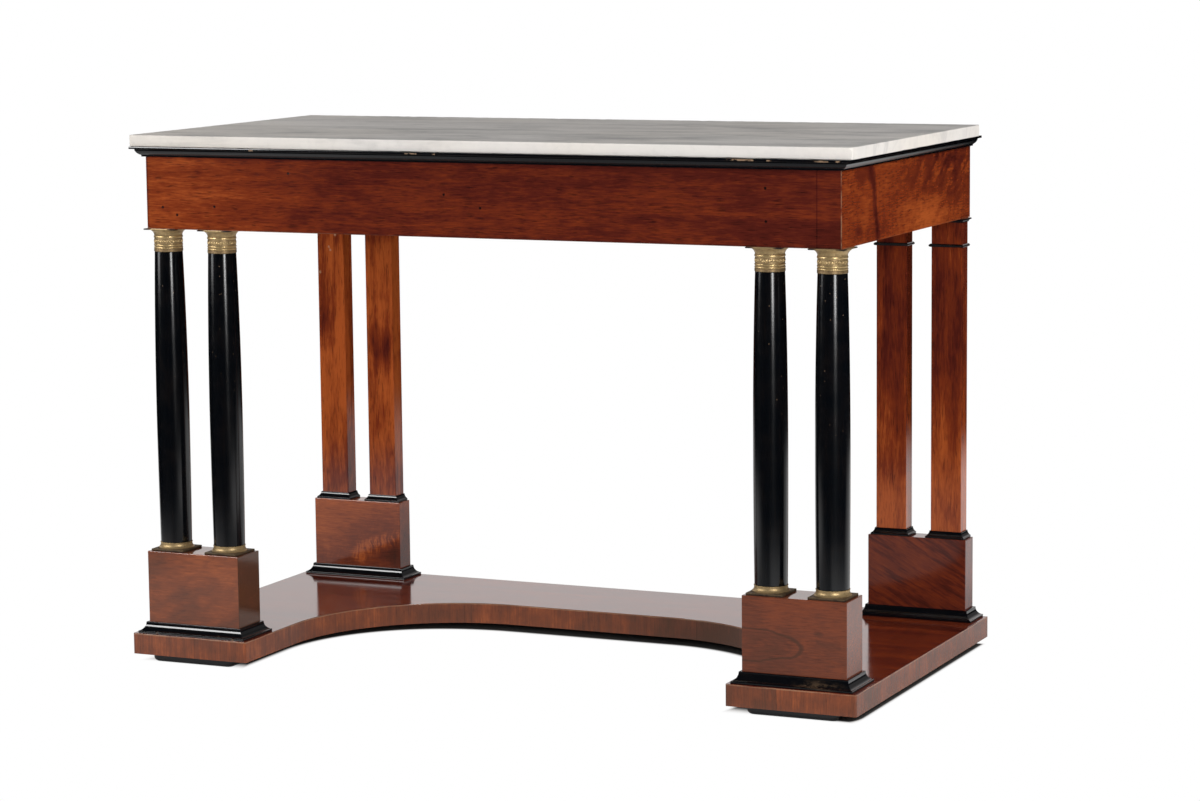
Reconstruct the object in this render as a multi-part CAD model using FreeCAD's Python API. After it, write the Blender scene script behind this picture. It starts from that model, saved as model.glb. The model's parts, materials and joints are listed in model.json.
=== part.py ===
"""Empire pier table.

A marble slab lies on a dovetailed and veneered frieze.  Four ebonised columns with brass capitals and bases
carry it in front and four flat pilasters behind, in pairs on plinth blocks, over a low platform whose front
is cut back in a wide recess.

Frame: millimetres, +X to the right, +Y to the wall behind, +Z up, origin on the floor under the middle of
the platform.  Each node is written to parts/NODE.step.
"""

import FreeCAD
import Part
import math
import os

Vector = FreeCAD.Vector

# ---------------------------------------------------------------- driving dimensions, mm
TABLE_HEIGHT = 880.0
VENEER = 1.2
TENON_FIT = 0.15  # clearance on each side of a tenon
TENON_END_GAP = 2.0  # glue space past the end of a tenon

FOOT_HEIGHT = 12.0
FOOT_WIDTH = 155.0
FOOT_DEPTH = 96.0
FOOT_INSET = 5.0  # from the platform's front or back edge
FOOT_CORNER_RADIUS = 14.0
FOOT_EDGE_ROUND = 8.0

PLATFORM_WIDTH = 1286.0
PLATFORM_DEPTH = 650.0
PLATFORM_THICKNESS = 35.0
PLATFORM_CORNER_RADIUS = 3.0
FRONT_PAD_WIDTH = 216.0
RECESS_DEPTH = 447.0
RECESS_RADIUS = 277.0

BLOCK_WIDTH = 173.0
BLOCK_HEIGHT = 138.0
FRONT_BLOCK_DEPTH = 70.0
REAR_BLOCK_DEPTH = 40.0
BLOCK_SIDE_MARGIN = 8.0  # from the moulding round a block to the platform's side
BLOCK_FRONT_MARGIN = 4.0  # from the moulding of a front block to the platform's front
BLOCK_MOULDING_HEIGHT = 18.0
BLOCK_MOULDING_PROJECTION = 14.0

COLUMN_SPACING = 102.0
COLUMN_FOOT_RADIUS = 26.0
COLUMN_BELLY_RADIUS = 27.1
COLUMN_SHOULDER_RADIUS = 26.3
COLUMN_TOP_RADIUS = 23.1
COLUMN_BELLY_AT = 0.28  # share of the shaft's height
COLUMN_SHOULDER_AT = 0.70
COLUMN_NECK_RADIUS = 21.0  # where the shaft passes through the brass
COLUMN_TENON_RADIUS = 10.0
COLUMN_TENON_UP = 25.0
COLUMN_TENON_DOWN = 35.0
BRASS_BORE_GAP = 0.2

BASE_HEIGHT = 14.0
BASE_PLATE_SIZE = 61.0
BASE_PLATE_THICKNESS = 3.5
BASE_FLARE_RADIUS = 30.3
BASE_FILLET_HEIGHT = 0.8  # the upright lip under the flare
BASE_RING_RADIUS = 27.0
BASE_RING_HEIGHT = 1.6

CAPITAL_HEIGHT = 38.5
ABACUS_SIZE = 59.0
ABACUS_THICKNESS = 2.0
CAPITAL_BAND_RADIUS = 22.4
CAPITAL_NECKING_HEIGHT = 4.8
CAPITAL_NECKING_RADIUS = 23.3
CAPITAL_BEAD = 0.9  # how far a bead stands out of the band
CAPITAL_BEAD_HEIGHT = 3.6
CAPITAL_BEAD_GAP = 0.6
CAPITAL_COLLAR_HEIGHT = 4.6  # the bead under the bell
CAPITAL_BELL_HEIGHT = 9.8
CAPITAL_BELL_RADIUS = 28.2

PILASTER_WIDTH = 53.0
PILASTER_DEPTH = 31.0
PILASTER_SPACING = 97.0
PILASTER_TENON_WIDTH = 20.0
PILASTER_TENON_THICKNESS = 12.0
PILASTER_TENON_BACKSET = 6.0  # from the pilaster's back to the tenon
PILASTER_TENON_UP = 22.0
PILASTER_TENON_DOWN = 28.0
PILASTER_BASE_HEIGHT = 11.5
PILASTER_BASE_PROJECTION = 7.5
PILASTER_RING_HEIGHT = 5.5
PILASTER_RING_PROJECTION = 4.0
PILASTER_RING_DROP = 43.0  # from the frieze down to the top of the ring
PILASTER_CAP_HEIGHT = 6.5
PILASTER_CAP_PROJECTION = 6.5

FRIEZE_HEIGHT = 119.0
FRIEZE_OVERHANG = 25.5  # from the columns' axes to the front face
FRIEZE_BACK_SETBACK = 3.0  # from the platform's back to the frieze's back
RAIL_THICKNESS = 40.0
DOVETAIL_COUNT = 3
DOVETAIL_SHARE = 0.74  # a tail's width at its end, as a share of the pitch
DOVETAIL_SLOPE = 1.0 / 7.0
CORNER_BLOCK_SIZE = 40.0
CORNER_BLOCK_SETBACK = 20.0  # above and below, from the rails' edges

CORNICE_HEIGHT = 17.0
CORNICE_PROJECTION = 20.0

BEARER_WIDTH = 60.0
BEARER_THICKNESS = 31.0
BEARER_OFFSET = 205.0
BEARER_HOUSING = 14.0  # how far an end goes into a rail
BEARER_FIT = 0.2

MARBLE_THICKNESS = 19.0
MARBLE_SIDE_OVERHANG = 2.0  # past the cornice
MARBLE_FRONT_SETBACK = 6.5  # behind the cornice's front edge
MARBLE_BACK_SETBACK = 18.5  # in front of the frieze's back
MARBLE_ARRIS = 1.0

SCREW_SHANK_RADIUS = 2.2
SCREW_HEAD_RADIUS = 4.6
SCREW_HEAD_HEIGHT = 2.6
SCREW_HEAD_DEPTH = 1.0  # how far a head lies below the surface
SCREW_HOLE_GAP = 0.1
FOOT_SCREW_LENGTH = 36.0
FOOT_SCREW_SPACING = 96.0
BLOCK_SCREW_LENGTH = 62.0
BLOCK_SCREW_SPACING = 56.0

# ---------------------------------------------------------------- levels and lines worked out from them
PLATFORM_BOTTOM = FOOT_HEIGHT
PLATFORM_TOP = PLATFORM_BOTTOM + PLATFORM_THICKNESS
CORE_TOP = PLATFORM_TOP - VENEER
BLOCK_TOP = PLATFORM_TOP + BLOCK_HEIGHT
MARBLE_BOTTOM = TABLE_HEIGHT - MARBLE_THICKNESS
FRIEZE_TOP = MARBLE_BOTTOM - CORNICE_HEIGHT
FRIEZE_BOTTOM = FRIEZE_TOP - FRIEZE_HEIGHT
SHAFT_BOTTOM = BLOCK_TOP + BASE_HEIGHT
SHAFT_TOP = FRIEZE_BOTTOM - CAPITAL_HEIGHT

PLATFORM_SIDE = PLATFORM_WIDTH / 2
PLATFORM_FRONT = -PLATFORM_DEPTH / 2
PLATFORM_BACK = PLATFORM_DEPTH / 2
RECESS_SIDE = PLATFORM_SIDE - FRONT_PAD_WIDTH
RECESS_BACK = PLATFORM_FRONT + RECESS_DEPTH

PAIR_X = PLATFORM_SIDE - BLOCK_SIDE_MARGIN - BLOCK_MOULDING_PROJECTION - BLOCK_WIDTH / 2
FRONT_BLOCK_Y = PLATFORM_FRONT + BLOCK_FRONT_MARGIN + BLOCK_MOULDING_PROJECTION + FRONT_BLOCK_DEPTH / 2
REAR_BLOCK_Y = PLATFORM_BACK - BLOCK_MOULDING_PROJECTION - REAR_BLOCK_DEPTH / 2
COLUMN_Y = FRONT_BLOCK_Y
PILASTER_BACK = REAR_BLOCK_Y + REAR_BLOCK_DEPTH / 2
PILASTER_FRONT = PILASTER_BACK - PILASTER_DEPTH
PILASTER_TENON_Y = PILASTER_BACK - PILASTER_TENON_BACKSET - PILASTER_TENON_THICKNESS / 2

FRIEZE_SIDE = PAIR_X + PILASTER_SPACING / 2 + PILASTER_WIDTH / 2
FRIEZE_FRONT = COLUMN_Y - FRIEZE_OVERHANG
FRIEZE_BACK = PLATFORM_BACK - FRIEZE_BACK_SETBACK
CORE_SIDE = FRIEZE_SIDE - VENEER
CORE_FRONT = FRIEZE_FRONT + VENEER
RAIL_INNER_SIDE = CORE_SIDE - RAIL_THICKNESS
RAIL_INNER_FRONT = CORE_FRONT + RAIL_THICKNESS
RAIL_INNER_BACK = FRIEZE_BACK - RAIL_THICKNESS

SIDES = (("left", -1), ("right", 1))
PLACES = (("outer", 1), ("inner", -1))


# ---------------------------------------------------------------- helpers
def box(x_span, y_span, z_span):
    """A box between the lower and upper value of each span, given in either order."""
    (x0, x1), (y0, y1), (z0, z1) = sorted(x_span), sorted(y_span), sorted(z_span)
    return Part.makeBox(x1 - x0, y1 - y0, z1 - z0, Vector(x0, y0, z0))


def centred(middle, width):
    return (middle - width / 2, middle + width / 2)


def closed_face(place, start, *steps):
    """A face whose outline starts at start.  A step (u, v) is a straight run, and a step (through, end) an arc.

    place turns the outline's own (u, v) into a point of the model.
    """
    edges = []
    here = start
    for step in (*steps, start):
        if isinstance(step[0], tuple):
            through, end = step
            edges.append(Part.Arc(place(*here), place(*through), place(*end)).toShape())
        else:
            end = step
            if end != here:
                edges.append(Part.makeLine(place(*here), place(*end)))
        here = end
    return Part.Face(Part.Wire(edges))


def hollow_arc(start, end, sag):
    """A step from start to end on an arc that lies sag to the left of the straight line between them."""
    du, dv = end[0] - start[0], end[1] - start[1]
    length = math.hypot(du, dv)
    middle = ((start[0] + end[0]) / 2 - dv / length * sag, (start[1] + end[1]) / 2 + du / length * sag)
    return (middle, end)


def flat(z):
    """Places an outline's (x, y) at height z."""
    return lambda x, y: Vector(x, y, z)


def turned(start, *steps):
    """A solid of revolution about +Z from an outline of (radius, height)."""
    face = closed_face(lambda radius, height: Vector(radius, 0, height), start, *steps)
    return face.revolve(Vector(0, 0, 0), Vector(0, 0, 1), 360)


def moved(shape, x, y, z=0.0):
    copy = shape.copy()
    copy.translate(Vector(x, y, z))
    return copy


def mitred_strips(steps, width, height, corners, bottom, closed=False):
    """The strips of a moulding that goes round corners, mitred where two strips meet.

    corners are the inner corners, clockwise seen from above, so that a strip's outer side lies to its left.
    steps is the section, from (0, 0) at the strip's inner bottom edge, out and up.
    """
    count = len(corners)
    runs = [(i, (i + 1) % count) for i in range(count if closed else count - 1)]
    ways = [(Vector(*corners[b], 0) - Vector(*corners[a], 0)).normalize() for a, b in runs]
    outs = [Vector(-way.y, way.x, 0) for way in ways]
    strips = []
    for n, (a, b) in enumerate(runs):
        first, last = Vector(*corners[a], bottom), Vector(*corners[b], bottom)
        way, out = ways[n], outs[n]
        before = outs[n - 1] if closed or n > 0 else Vector(0, 0, 0)
        after = outs[(n + 1) % len(runs)] if closed or n < len(runs) - 1 else Vector(0, 0, 0)
        start = first - way * width

        def place(u, v, start=start, out=out):
            return start + out * u + Vector(0, 0, v)

        length = (last - first).Length + 2 * width
        run = closed_face(place, (0, 0), *steps).extrude(way * length)
        plan = [first, last, last + (out + after) * width, first + (out + before) * width, first]
        strips.append(run.common(Part.Face(Part.makePolygon(plan)).extrude(Vector(0, 0, height))))
    return strips


def save(name, *solids):
    shape = solids[0] if len(solids) == 1 else Part.makeCompound(list(solids))
    shape.exportStep(f"parts/{name}.step")


# ---------------------------------------------------------------- feet and screws
def screw(x, y, z, length):
    """A countersunk iron screw that points up, with its head's flat end at z."""
    neck = z + SCREW_HEAD_HEIGHT
    head = Part.makeCone(SCREW_HEAD_RADIUS, SCREW_SHANK_RADIUS, SCREW_HEAD_HEIGHT, Vector(x, y, z))
    shank = Part.makeCylinder(SCREW_SHANK_RADIUS, length - SCREW_HEAD_HEIGHT, Vector(x, y, neck))
    return head.fuse(shank).removeSplitter()


def screw_hole(x, y, surface, length):
    """What is cut away for a screw whose head lies SCREW_HEAD_DEPTH above the surface it enters."""
    gap = SCREW_HOLE_GAP
    sink = Part.makeCylinder(SCREW_HEAD_RADIUS + gap, SCREW_HEAD_DEPTH, Vector(x, y, surface))
    top = surface + SCREW_HEAD_DEPTH
    cone = Part.makeCone(
        SCREW_HEAD_RADIUS + gap, SCREW_SHANK_RADIUS + gap, SCREW_HEAD_HEIGHT, Vector(x, y, top)
    )
    shank = Part.makeCylinder(SCREW_SHANK_RADIUS + gap, length + gap, Vector(x, y, top))
    return sink.fuse([cone, shank])


def foot_places():
    """Name, x and y of each foot's middle."""
    reach = PLATFORM_DEPTH / 2 - FOOT_INSET - FOOT_DEPTH / 2
    for row, y in (("front", -reach), ("rear", reach)):
        for side, sign in SIDES:
            yield f"{row}_{side}", sign * PAIR_X, y


def foot_screw_places():
    for _, x, y in foot_places():
        for offset in (-FOOT_SCREW_SPACING / 2, FOOT_SCREW_SPACING / 2):
            yield x + offset, y


def block_places():
    """Name, x, y and depth of each plinth block."""
    for row, y, depth in (("front", FRONT_BLOCK_Y, FRONT_BLOCK_DEPTH), ("rear", REAR_BLOCK_Y, REAR_BLOCK_DEPTH)):
        for side, sign in SIDES:
            yield f"{row}_{side}", sign * PAIR_X, y, depth


def block_screw_places():
    for _, x, y, _ in block_places():
        for offset in (-BLOCK_SCREW_SPACING / 2, BLOCK_SCREW_SPACING / 2):
            yield x + offset, y


def make_feet():
    """Low pads with rounded corners, drawn in towards the floor."""
    for name, x, y in foot_places():
        pad = box(centred(x, FOOT_WIDTH), centred(y, FOOT_DEPTH), (0, FOOT_HEIGHT))
        upright = [e for e in pad.Edges if abs(e.tangentAt(e.FirstParameter).z) > 0.5]
        pad = pad.makeFillet(FOOT_CORNER_RADIUS, upright)
        low = [e for e in pad.Edges if e.BoundBox.ZMax < 1e-6]
        pad = pad.makeFillet(min(FOOT_EDGE_ROUND, 0.8 * FOOT_HEIGHT), low)
        for hole_x, hole_y in foot_screw_places():
            if abs(hole_x - x) < FOOT_WIDTH / 2 and abs(hole_y - y) < FOOT_DEPTH / 2:
                pad = pad.cut(screw_hole(hole_x, hole_y, 0, FOOT_SCREW_LENGTH))
        save(f"foot_{name}", pad)
    save("foot_screws", *[screw(x, y, SCREW_HEAD_DEPTH, FOOT_SCREW_LENGTH) for x, y in foot_screw_places()])


def make_block_screws():
    bottom = PLATFORM_BOTTOM + SCREW_HEAD_DEPTH
    save("block_screws", *[screw(x, y, bottom, BLOCK_SCREW_LENGTH) for x, y in block_screw_places()])


# ---------------------------------------------------------------- platform
def platform_face(inset, z):
    """The platform's plan, drawn in by inset on its front, its sides and in the recess, but not at its back."""
    corner = PLATFORM_CORNER_RADIUS - inset
    side, front, back = PLATFORM_SIDE - inset, PLATFORM_FRONT + inset, PLATFORM_BACK
    recess, recess_back, radius = RECESS_SIDE + inset, RECESS_BACK + inset, RECESS_RADIUS + inset
    bend = 1 - math.sqrt(0.5)

    def outer_round(start, end, corner_point):
        through = tuple(c + (s - c + e - c) * bend for s, e, c in zip(start, end, corner_point))
        return (through, end)

    steps = [
        (side, back),
        (side, front + corner),
        outer_round((side, front + corner), (side - corner, front), (side, front)),
        (recess + corner, front),
        outer_round((recess + corner, front), (recess, front + corner), (recess, front)),
        (recess, recess_back - radius),
        outer_round((recess, recess_back - radius), (recess - radius, recess_back), (recess, recess_back)),
        (radius - recess, recess_back),
        outer_round((radius - recess, recess_back), (-recess, recess_back - radius), (-recess, recess_back)),
        (-recess, front + corner),
        outer_round((-recess, front + corner), (-recess - corner, front), (-recess, front)),
        (corner - side, front),
        outer_round((corner - side, front), (-side, front + corner), (-side, front)),
    ]
    return closed_face(flat(z), (-side, back), *steps)


def make_platform():
    """A softwood core with a mahogany sheet on top and a cross-grained band on its front and side edges."""
    height = Vector(0, 0, CORE_TOP - PLATFORM_BOTTOM)
    core = platform_face(VENEER, PLATFORM_BOTTOM).extrude(height)
    band = platform_face(0, PLATFORM_BOTTOM).extrude(height).cut(core)
    sheet = platform_face(0, CORE_TOP).extrude(Vector(0, 0, VENEER))
    for x, y in foot_screw_places():
        top = FOOT_SCREW_LENGTH + SCREW_HEAD_DEPTH + SCREW_HOLE_GAP
        radius = SCREW_SHANK_RADIUS + SCREW_HOLE_GAP
        core = core.cut(Part.makeCylinder(radius, top - PLATFORM_BOTTOM, Vector(x, y, PLATFORM_BOTTOM)))
    for x, y in block_screw_places():
        hole = screw_hole(x, y, PLATFORM_BOTTOM, BLOCK_SCREW_LENGTH)
        core = core.cut(hole)
        sheet = sheet.cut(hole)
    save("platform_core", core)
    save("platform_edge_band", band)
    save("platform_top_veneer", sheet)


# ---------------------------------------------------------------- plinth blocks
def make_blocks():
    """The four blocks, bored from above for their tenons, each with an ebonised moulding round its foot."""
    p, h = BLOCK_MOULDING_PROJECTION, BLOCK_MOULDING_HEIGHT
    foot, lip, crown = 0.21 * h, 0.89 * p, 0.28 * p
    section = (
        (p, 0),
        (p, foot),
        (lip, foot),
        hollow_arc((lip, foot), (crown, 0.83 * h), 0.2 * p),
        (crown, h),
        (0, h),
    )
    for name, x, y, depth in block_places():
        (left, right), (front, back) = centred(x, BLOCK_WIDTH), centred(y, depth)
        block = box((left, right), (front, back), (PLATFORM_TOP, BLOCK_TOP))
        sockets = column_tenon_sockets() if name.startswith("front") else pilaster_tenon_sockets()
        for socket in sockets:
            block = block.cut(socket)
        for screw_x, screw_y in block_screw_places():
            if abs(screw_x - x) < BLOCK_WIDTH / 2 and abs(screw_y - y) < depth / 2:
                block = block.cut(screw_hole(screw_x, screw_y, PLATFORM_BOTTOM, BLOCK_SCREW_LENGTH))
        save(f"plinth_block_{name}", block)
        corners = [(left, back), (right, back), (right, front), (left, front)]
        save(f"block_moulding_{name}", *mitred_strips(section, p, h, corners, PLATFORM_TOP, closed=True))


# ---------------------------------------------------------------- columns
def column_places():
    """Name, x and y of each column's axis."""
    for side, sign in SIDES:
        for place, outward in PLACES:
            yield f"{side}_{place}", sign * (PAIR_X + outward * COLUMN_SPACING / 2), COLUMN_Y


def column_tenon_sockets():
    """The round sockets for all the columns' tenons, in the blocks and in the frieze's rails."""
    radius = COLUMN_TENON_RADIUS + TENON_FIT
    for _, x, y in column_places():
        deep = COLUMN_TENON_DOWN + TENON_END_GAP
        yield Part.makeCylinder(radius, deep, Vector(x, y, BLOCK_TOP - deep))
        yield Part.makeCylinder(radius, COLUMN_TENON_UP + TENON_END_GAP, Vector(x, y, FRIEZE_BOTTOM))


def column_shaft():
    """The turned column: a swelling shaft, plain necks inside the brass, and a tenon at each end."""
    tenon, neck = COLUMN_TENON_RADIUS, COLUMN_NECK_RADIUS
    length = SHAFT_TOP - SHAFT_BOTTOM
    swelling = Part.BSplineCurve()
    swelling.interpolate(
        [
            Vector(COLUMN_FOOT_RADIUS, 0, SHAFT_BOTTOM),
            Vector(COLUMN_BELLY_RADIUS, 0, SHAFT_BOTTOM + COLUMN_BELLY_AT * length),
            Vector(COLUMN_SHOULDER_RADIUS, 0, SHAFT_BOTTOM + COLUMN_SHOULDER_AT * length),
            Vector(COLUMN_TOP_RADIUS, 0, SHAFT_TOP),
        ]
    )
    below = [(COLUMN_FOOT_RADIUS, SHAFT_BOTTOM), (neck, SHAFT_BOTTOM), (neck, BLOCK_TOP), (tenon, BLOCK_TOP)]
    below += [(tenon, BLOCK_TOP - COLUMN_TENON_DOWN), (0, BLOCK_TOP - COLUMN_TENON_DOWN)]
    above = [(0, FRIEZE_BOTTOM + COLUMN_TENON_UP), (tenon, FRIEZE_BOTTOM + COLUMN_TENON_UP)]
    above += [(tenon, FRIEZE_BOTTOM), (neck, FRIEZE_BOTTOM), (neck, SHAFT_TOP), (COLUMN_TOP_RADIUS, SHAFT_TOP)]
    corners = [Vector(radius, 0, z) for radius, z in below + above]
    edges = [swelling.toShape()] + [Part.makeLine(a, b) for a, b in zip(corners, corners[1:])]
    return Part.Face(Part.Wire(edges)).revolve(Vector(0, 0, 0), Vector(0, 0, 1), 360)


def column_base():
    """The brass base: a square plate under a hollow flare and a thin ring, bored for the column."""
    bore = COLUMN_NECK_RADIUS + BRASS_BORE_GAP
    plate_top = BLOCK_TOP + BASE_PLATE_THICKNESS
    fillet_top = plate_top + BASE_FILLET_HEIGHT
    ring_bottom = SHAFT_BOTTOM - BASE_RING_HEIGHT
    waist = BASE_RING_RADIUS - BASE_RING_HEIGHT / 3
    sag = 0.18 * (ring_bottom - fillet_top)
    plate = box(centred(0, BASE_PLATE_SIZE), centred(0, BASE_PLATE_SIZE), (BLOCK_TOP, plate_top))
    plate = plate.cut(Part.makeCylinder(bore, BASE_PLATE_THICKNESS, Vector(0, 0, BLOCK_TOP)))
    flare = turned(
        (bore, plate_top),
        (BASE_FLARE_RADIUS, plate_top),
        (BASE_FLARE_RADIUS, fillet_top),
        hollow_arc((BASE_FLARE_RADIUS, fillet_top), (waist, ring_bottom), sag),
        (BASE_RING_RADIUS, ring_bottom),
        (BASE_RING_RADIUS, SHAFT_BOTTOM),
        (bore, SHAFT_BOTTOM),
    )
    return plate.fuse(flare)


def capital():
    """The brass capital: necking, two beads, a plain band, a broad bead and a bell under a square abacus."""
    bore, band, bead = COLUMN_NECK_RADIUS + BRASS_BORE_GAP, CAPITAL_BAND_RADIUS, CAPITAL_BEAD_HEIGHT
    abacus_bottom = FRIEZE_BOTTOM - ABACUS_THICKNESS
    bell_bottom = abacus_bottom - CAPITAL_BELL_HEIGHT
    necking_top = SHAFT_TOP + CAPITAL_NECKING_HEIGHT
    outline = [(CAPITAL_NECKING_RADIUS, SHAFT_TOP), (CAPITAL_NECKING_RADIUS, necking_top)]
    for z, height in (
        (necking_top, bead),
        (necking_top + bead + CAPITAL_BEAD_GAP, bead),
        (bell_bottom - CAPITAL_COLLAR_HEIGHT, CAPITAL_COLLAR_HEIGHT),
    ):
        crest = band + CAPITAL_BEAD
        outline += [(band, z), (crest, z + height / 3), (crest, z + 2 * height / 3), (band, z + height)]
    outline += [
        hollow_arc((band, bell_bottom), (CAPITAL_BELL_RADIUS, abacus_bottom), 0.14 * CAPITAL_BELL_HEIGHT),
        (bore, abacus_bottom),
    ]
    body = turned((bore, SHAFT_TOP), *outline)
    abacus = box(centred(0, ABACUS_SIZE), centred(0, ABACUS_SIZE), (abacus_bottom, FRIEZE_BOTTOM))
    abacus = abacus.cut(Part.makeCylinder(bore, ABACUS_THICKNESS, Vector(0, 0, abacus_bottom)))
    return body.fuse(abacus)


def make_columns():
    shaft, base, top = column_shaft(), column_base(), capital()
    for name, x, y in column_places():
        save(f"column_{name}", moved(shaft, x, y))
        save(f"column_base_{name}", moved(base, x, y))
        save(f"capital_{name}", moved(top, x, y))


# ---------------------------------------------------------------- pilasters
def pilaster_places():
    """Name and x of each pilaster's middle."""
    for side, sign in SIDES:
        for place, outward in PLACES:
            yield f"{side}_{place}", sign * (PAIR_X + outward * PILASTER_SPACING / 2)


def pilaster_tenon_sockets():
    """The mortises for all the pilasters' tenons, in the blocks and in the frieze's rails."""
    for _, x in pilaster_places():
        across = centred(x, PILASTER_TENON_WIDTH + 2 * TENON_FIT)
        along = centred(PILASTER_TENON_Y, PILASTER_TENON_THICKNESS + 2 * TENON_FIT)
        yield box(across, along, (BLOCK_TOP - PILASTER_TENON_DOWN - TENON_END_GAP, BLOCK_TOP))
        yield box(across, along, (FRIEZE_BOTTOM, FRIEZE_BOTTOM + PILASTER_TENON_UP + TENON_END_GAP))


def three_sides(x):
    """The corners of a pilaster's left, front and right faces, for a moulding that stops at its back."""
    left, right = centred(x, PILASTER_WIDTH)
    return [(right, PILASTER_BACK), (right, PILASTER_FRONT), (left, PILASTER_FRONT), (left, PILASTER_BACK)]


def make_pilasters():
    """Flat pilasters, each with an ebonised base, a ring below the head and a cap under the frieze."""
    p, h = PILASTER_BASE_PROJECTION, PILASTER_BASE_HEIGHT
    base = ((p, 0), (p, 0.26 * h), hollow_arc((p, 0.26 * h), (0.3 * p, 0.85 * h), 0.1 * p), (0.3 * p, h), (0, h))
    q, g = PILASTER_RING_PROJECTION, PILASTER_RING_HEIGHT
    ring = ((0.55 * q, 0), ((q, g / 2), (0.55 * q, g)), (0, g))
    r, k = PILASTER_CAP_PROJECTION, PILASTER_CAP_HEIGHT
    cap = ((0.3 * r, 0), (0.3 * r, 0.2 * k), hollow_arc((0.3 * r, 0.2 * k), (r, 0.6 * k), 0.1 * r), (r, k), (0, k))
    ring_bottom = FRIEZE_BOTTOM - PILASTER_RING_DROP - PILASTER_RING_HEIGHT
    for name, x in pilaster_places():
        shaft = box(centred(x, PILASTER_WIDTH), (PILASTER_FRONT, PILASTER_BACK), (BLOCK_TOP, FRIEZE_BOTTOM))
        tenon = box(
            centred(x, PILASTER_TENON_WIDTH),
            centred(PILASTER_TENON_Y, PILASTER_TENON_THICKNESS),
            (BLOCK_TOP - PILASTER_TENON_DOWN, FRIEZE_BOTTOM + PILASTER_TENON_UP),
        )
        save(f"pilaster_{name}", shaft.fuse(tenon))
        for part, section, width, height, bottom in (
            ("base", base, p, h, BLOCK_TOP),
            ("ring", ring, q, g, ring_bottom),
            ("cap", cap, r, k, FRIEZE_BOTTOM - k),
        ):
            save(f"pilaster_{part}_{name}", *mitred_strips(section, width, height, three_sides(x), bottom))


# ---------------------------------------------------------------- frieze
def dovetails(sign, root_y, end_y):
    """The tails of the side rail on that side, widening from root_y to end_y, right through its thickness."""
    pitch = FRIEZE_HEIGHT / DOVETAIL_COUNT
    half_end = pitch * DOVETAIL_SHARE / 2
    half_root = half_end - abs(end_y - root_y) * DOVETAIL_SLOPE
    inner = sign * RAIL_INNER_SIDE
    tails = []
    for n in range(DOVETAIL_COUNT):
        z = FRIEZE_BOTTOM + pitch * (n + 0.5)
        plan = [(root_y, z - half_root), (end_y, z - half_end), (end_y, z + half_end), (root_y, z + half_root)]
        face = closed_face(lambda y, height: Vector(inner, y, height), plan[0], *plan[1:])
        tails.append(face.extrude(Vector(sign * RAIL_THICKNESS, 0, 0)))
    return tails


def bearer_places():
    for side, sign in SIDES:
        yield side, sign * BEARER_OFFSET


def bearer_solid(x, gap):
    """A cross bearer with its two housed ends, or its housing when gap is above 0."""
    across = centred(x, BEARER_WIDTH + 2 * gap)
    under = (MARBLE_BOTTOM - BEARER_THICKNESS, MARBLE_BOTTOM)
    body = box(across, (RAIL_INNER_FRONT, RAIL_INNER_BACK + BEARER_HOUSING), under)
    tongue = box(across, (RAIL_INNER_FRONT - BEARER_HOUSING, RAIL_INNER_FRONT), (under[0], FRIEZE_TOP))
    return body.fuse(tongue)


def make_frieze():
    """Four rails with through dovetails, veneered in front and at the sides, and glue blocks in the corners."""
    height = (FRIEZE_BOTTOM, FRIEZE_TOP)
    full = (-CORE_SIDE, CORE_SIDE)
    tails = {
        (side, end): dovetails(sign, root, tip)
        for side, sign in SIDES
        for end, root, tip in (("front", RAIL_INNER_FRONT, CORE_FRONT), ("back", RAIL_INNER_BACK, FRIEZE_BACK))
    }
    front = box(full, (CORE_FRONT, RAIL_INNER_FRONT), height)
    back = box(full, (RAIL_INNER_BACK, FRIEZE_BACK), height)
    between = (-RAIL_INNER_SIDE, RAIL_INNER_SIDE)
    back = back.fuse(box(between, (RAIL_INNER_BACK, FRIEZE_BACK), (FRIEZE_TOP, MARBLE_BOTTOM)))
    for side, _ in SIDES:
        front = front.cut(tails[side, "front"])
        back = back.cut(tails[side, "back"])
    rails = {"front": front, "back": back.removeSplitter()}
    for side, sign in SIDES:
        rail = box((sign * RAIL_INNER_SIDE, sign * CORE_SIDE), (RAIL_INNER_FRONT, RAIL_INNER_BACK), height)
        rails[side] = rail.fuse([*tails[side, "front"], *tails[side, "back"]]).removeSplitter()
    sockets = [*column_tenon_sockets(), *pilaster_tenon_sockets()]
    housings = [bearer_solid(x, BEARER_FIT) for _, x in bearer_places()]
    for name, rail in rails.items():
        rail = rail.cut(sockets)
        if name in ("front", "back"):
            rail = rail.cut(housings)
        save(f"frieze_rail_{name}", rail)
    for side, x in bearer_places():
        save(f"marble_bearer_{side}", bearer_solid(x, 0))

    sheet = box((-FRIEZE_SIDE, FRIEZE_SIDE), (FRIEZE_FRONT, CORE_FRONT), height)
    save("frieze_veneer_front", sheet)
    for side, sign in SIDES:
        sheet = box((sign * CORE_SIDE, sign * FRIEZE_SIDE), (CORE_FRONT, FRIEZE_BACK), height)
        save(f"frieze_veneer_{side}", sheet)

    blocks = []
    size = CORNER_BLOCK_SIZE
    upright = Vector(0, 0, FRIEZE_HEIGHT - 2 * CORNER_BLOCK_SETBACK)
    for _, sign in SIDES:
        for y, way in ((RAIL_INNER_FRONT, 1), (RAIL_INNER_BACK, -1)):
            x = sign * RAIL_INNER_SIDE
            plan = [(x, y), (x - sign * size, y), (x, y + way * size)]
            face = closed_face(flat(FRIEZE_BOTTOM + CORNER_BLOCK_SETBACK), plan[0], *plan[1:])
            blocks.append(face.extrude(upright))
    save("corner_glue_blocks", *blocks)


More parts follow.
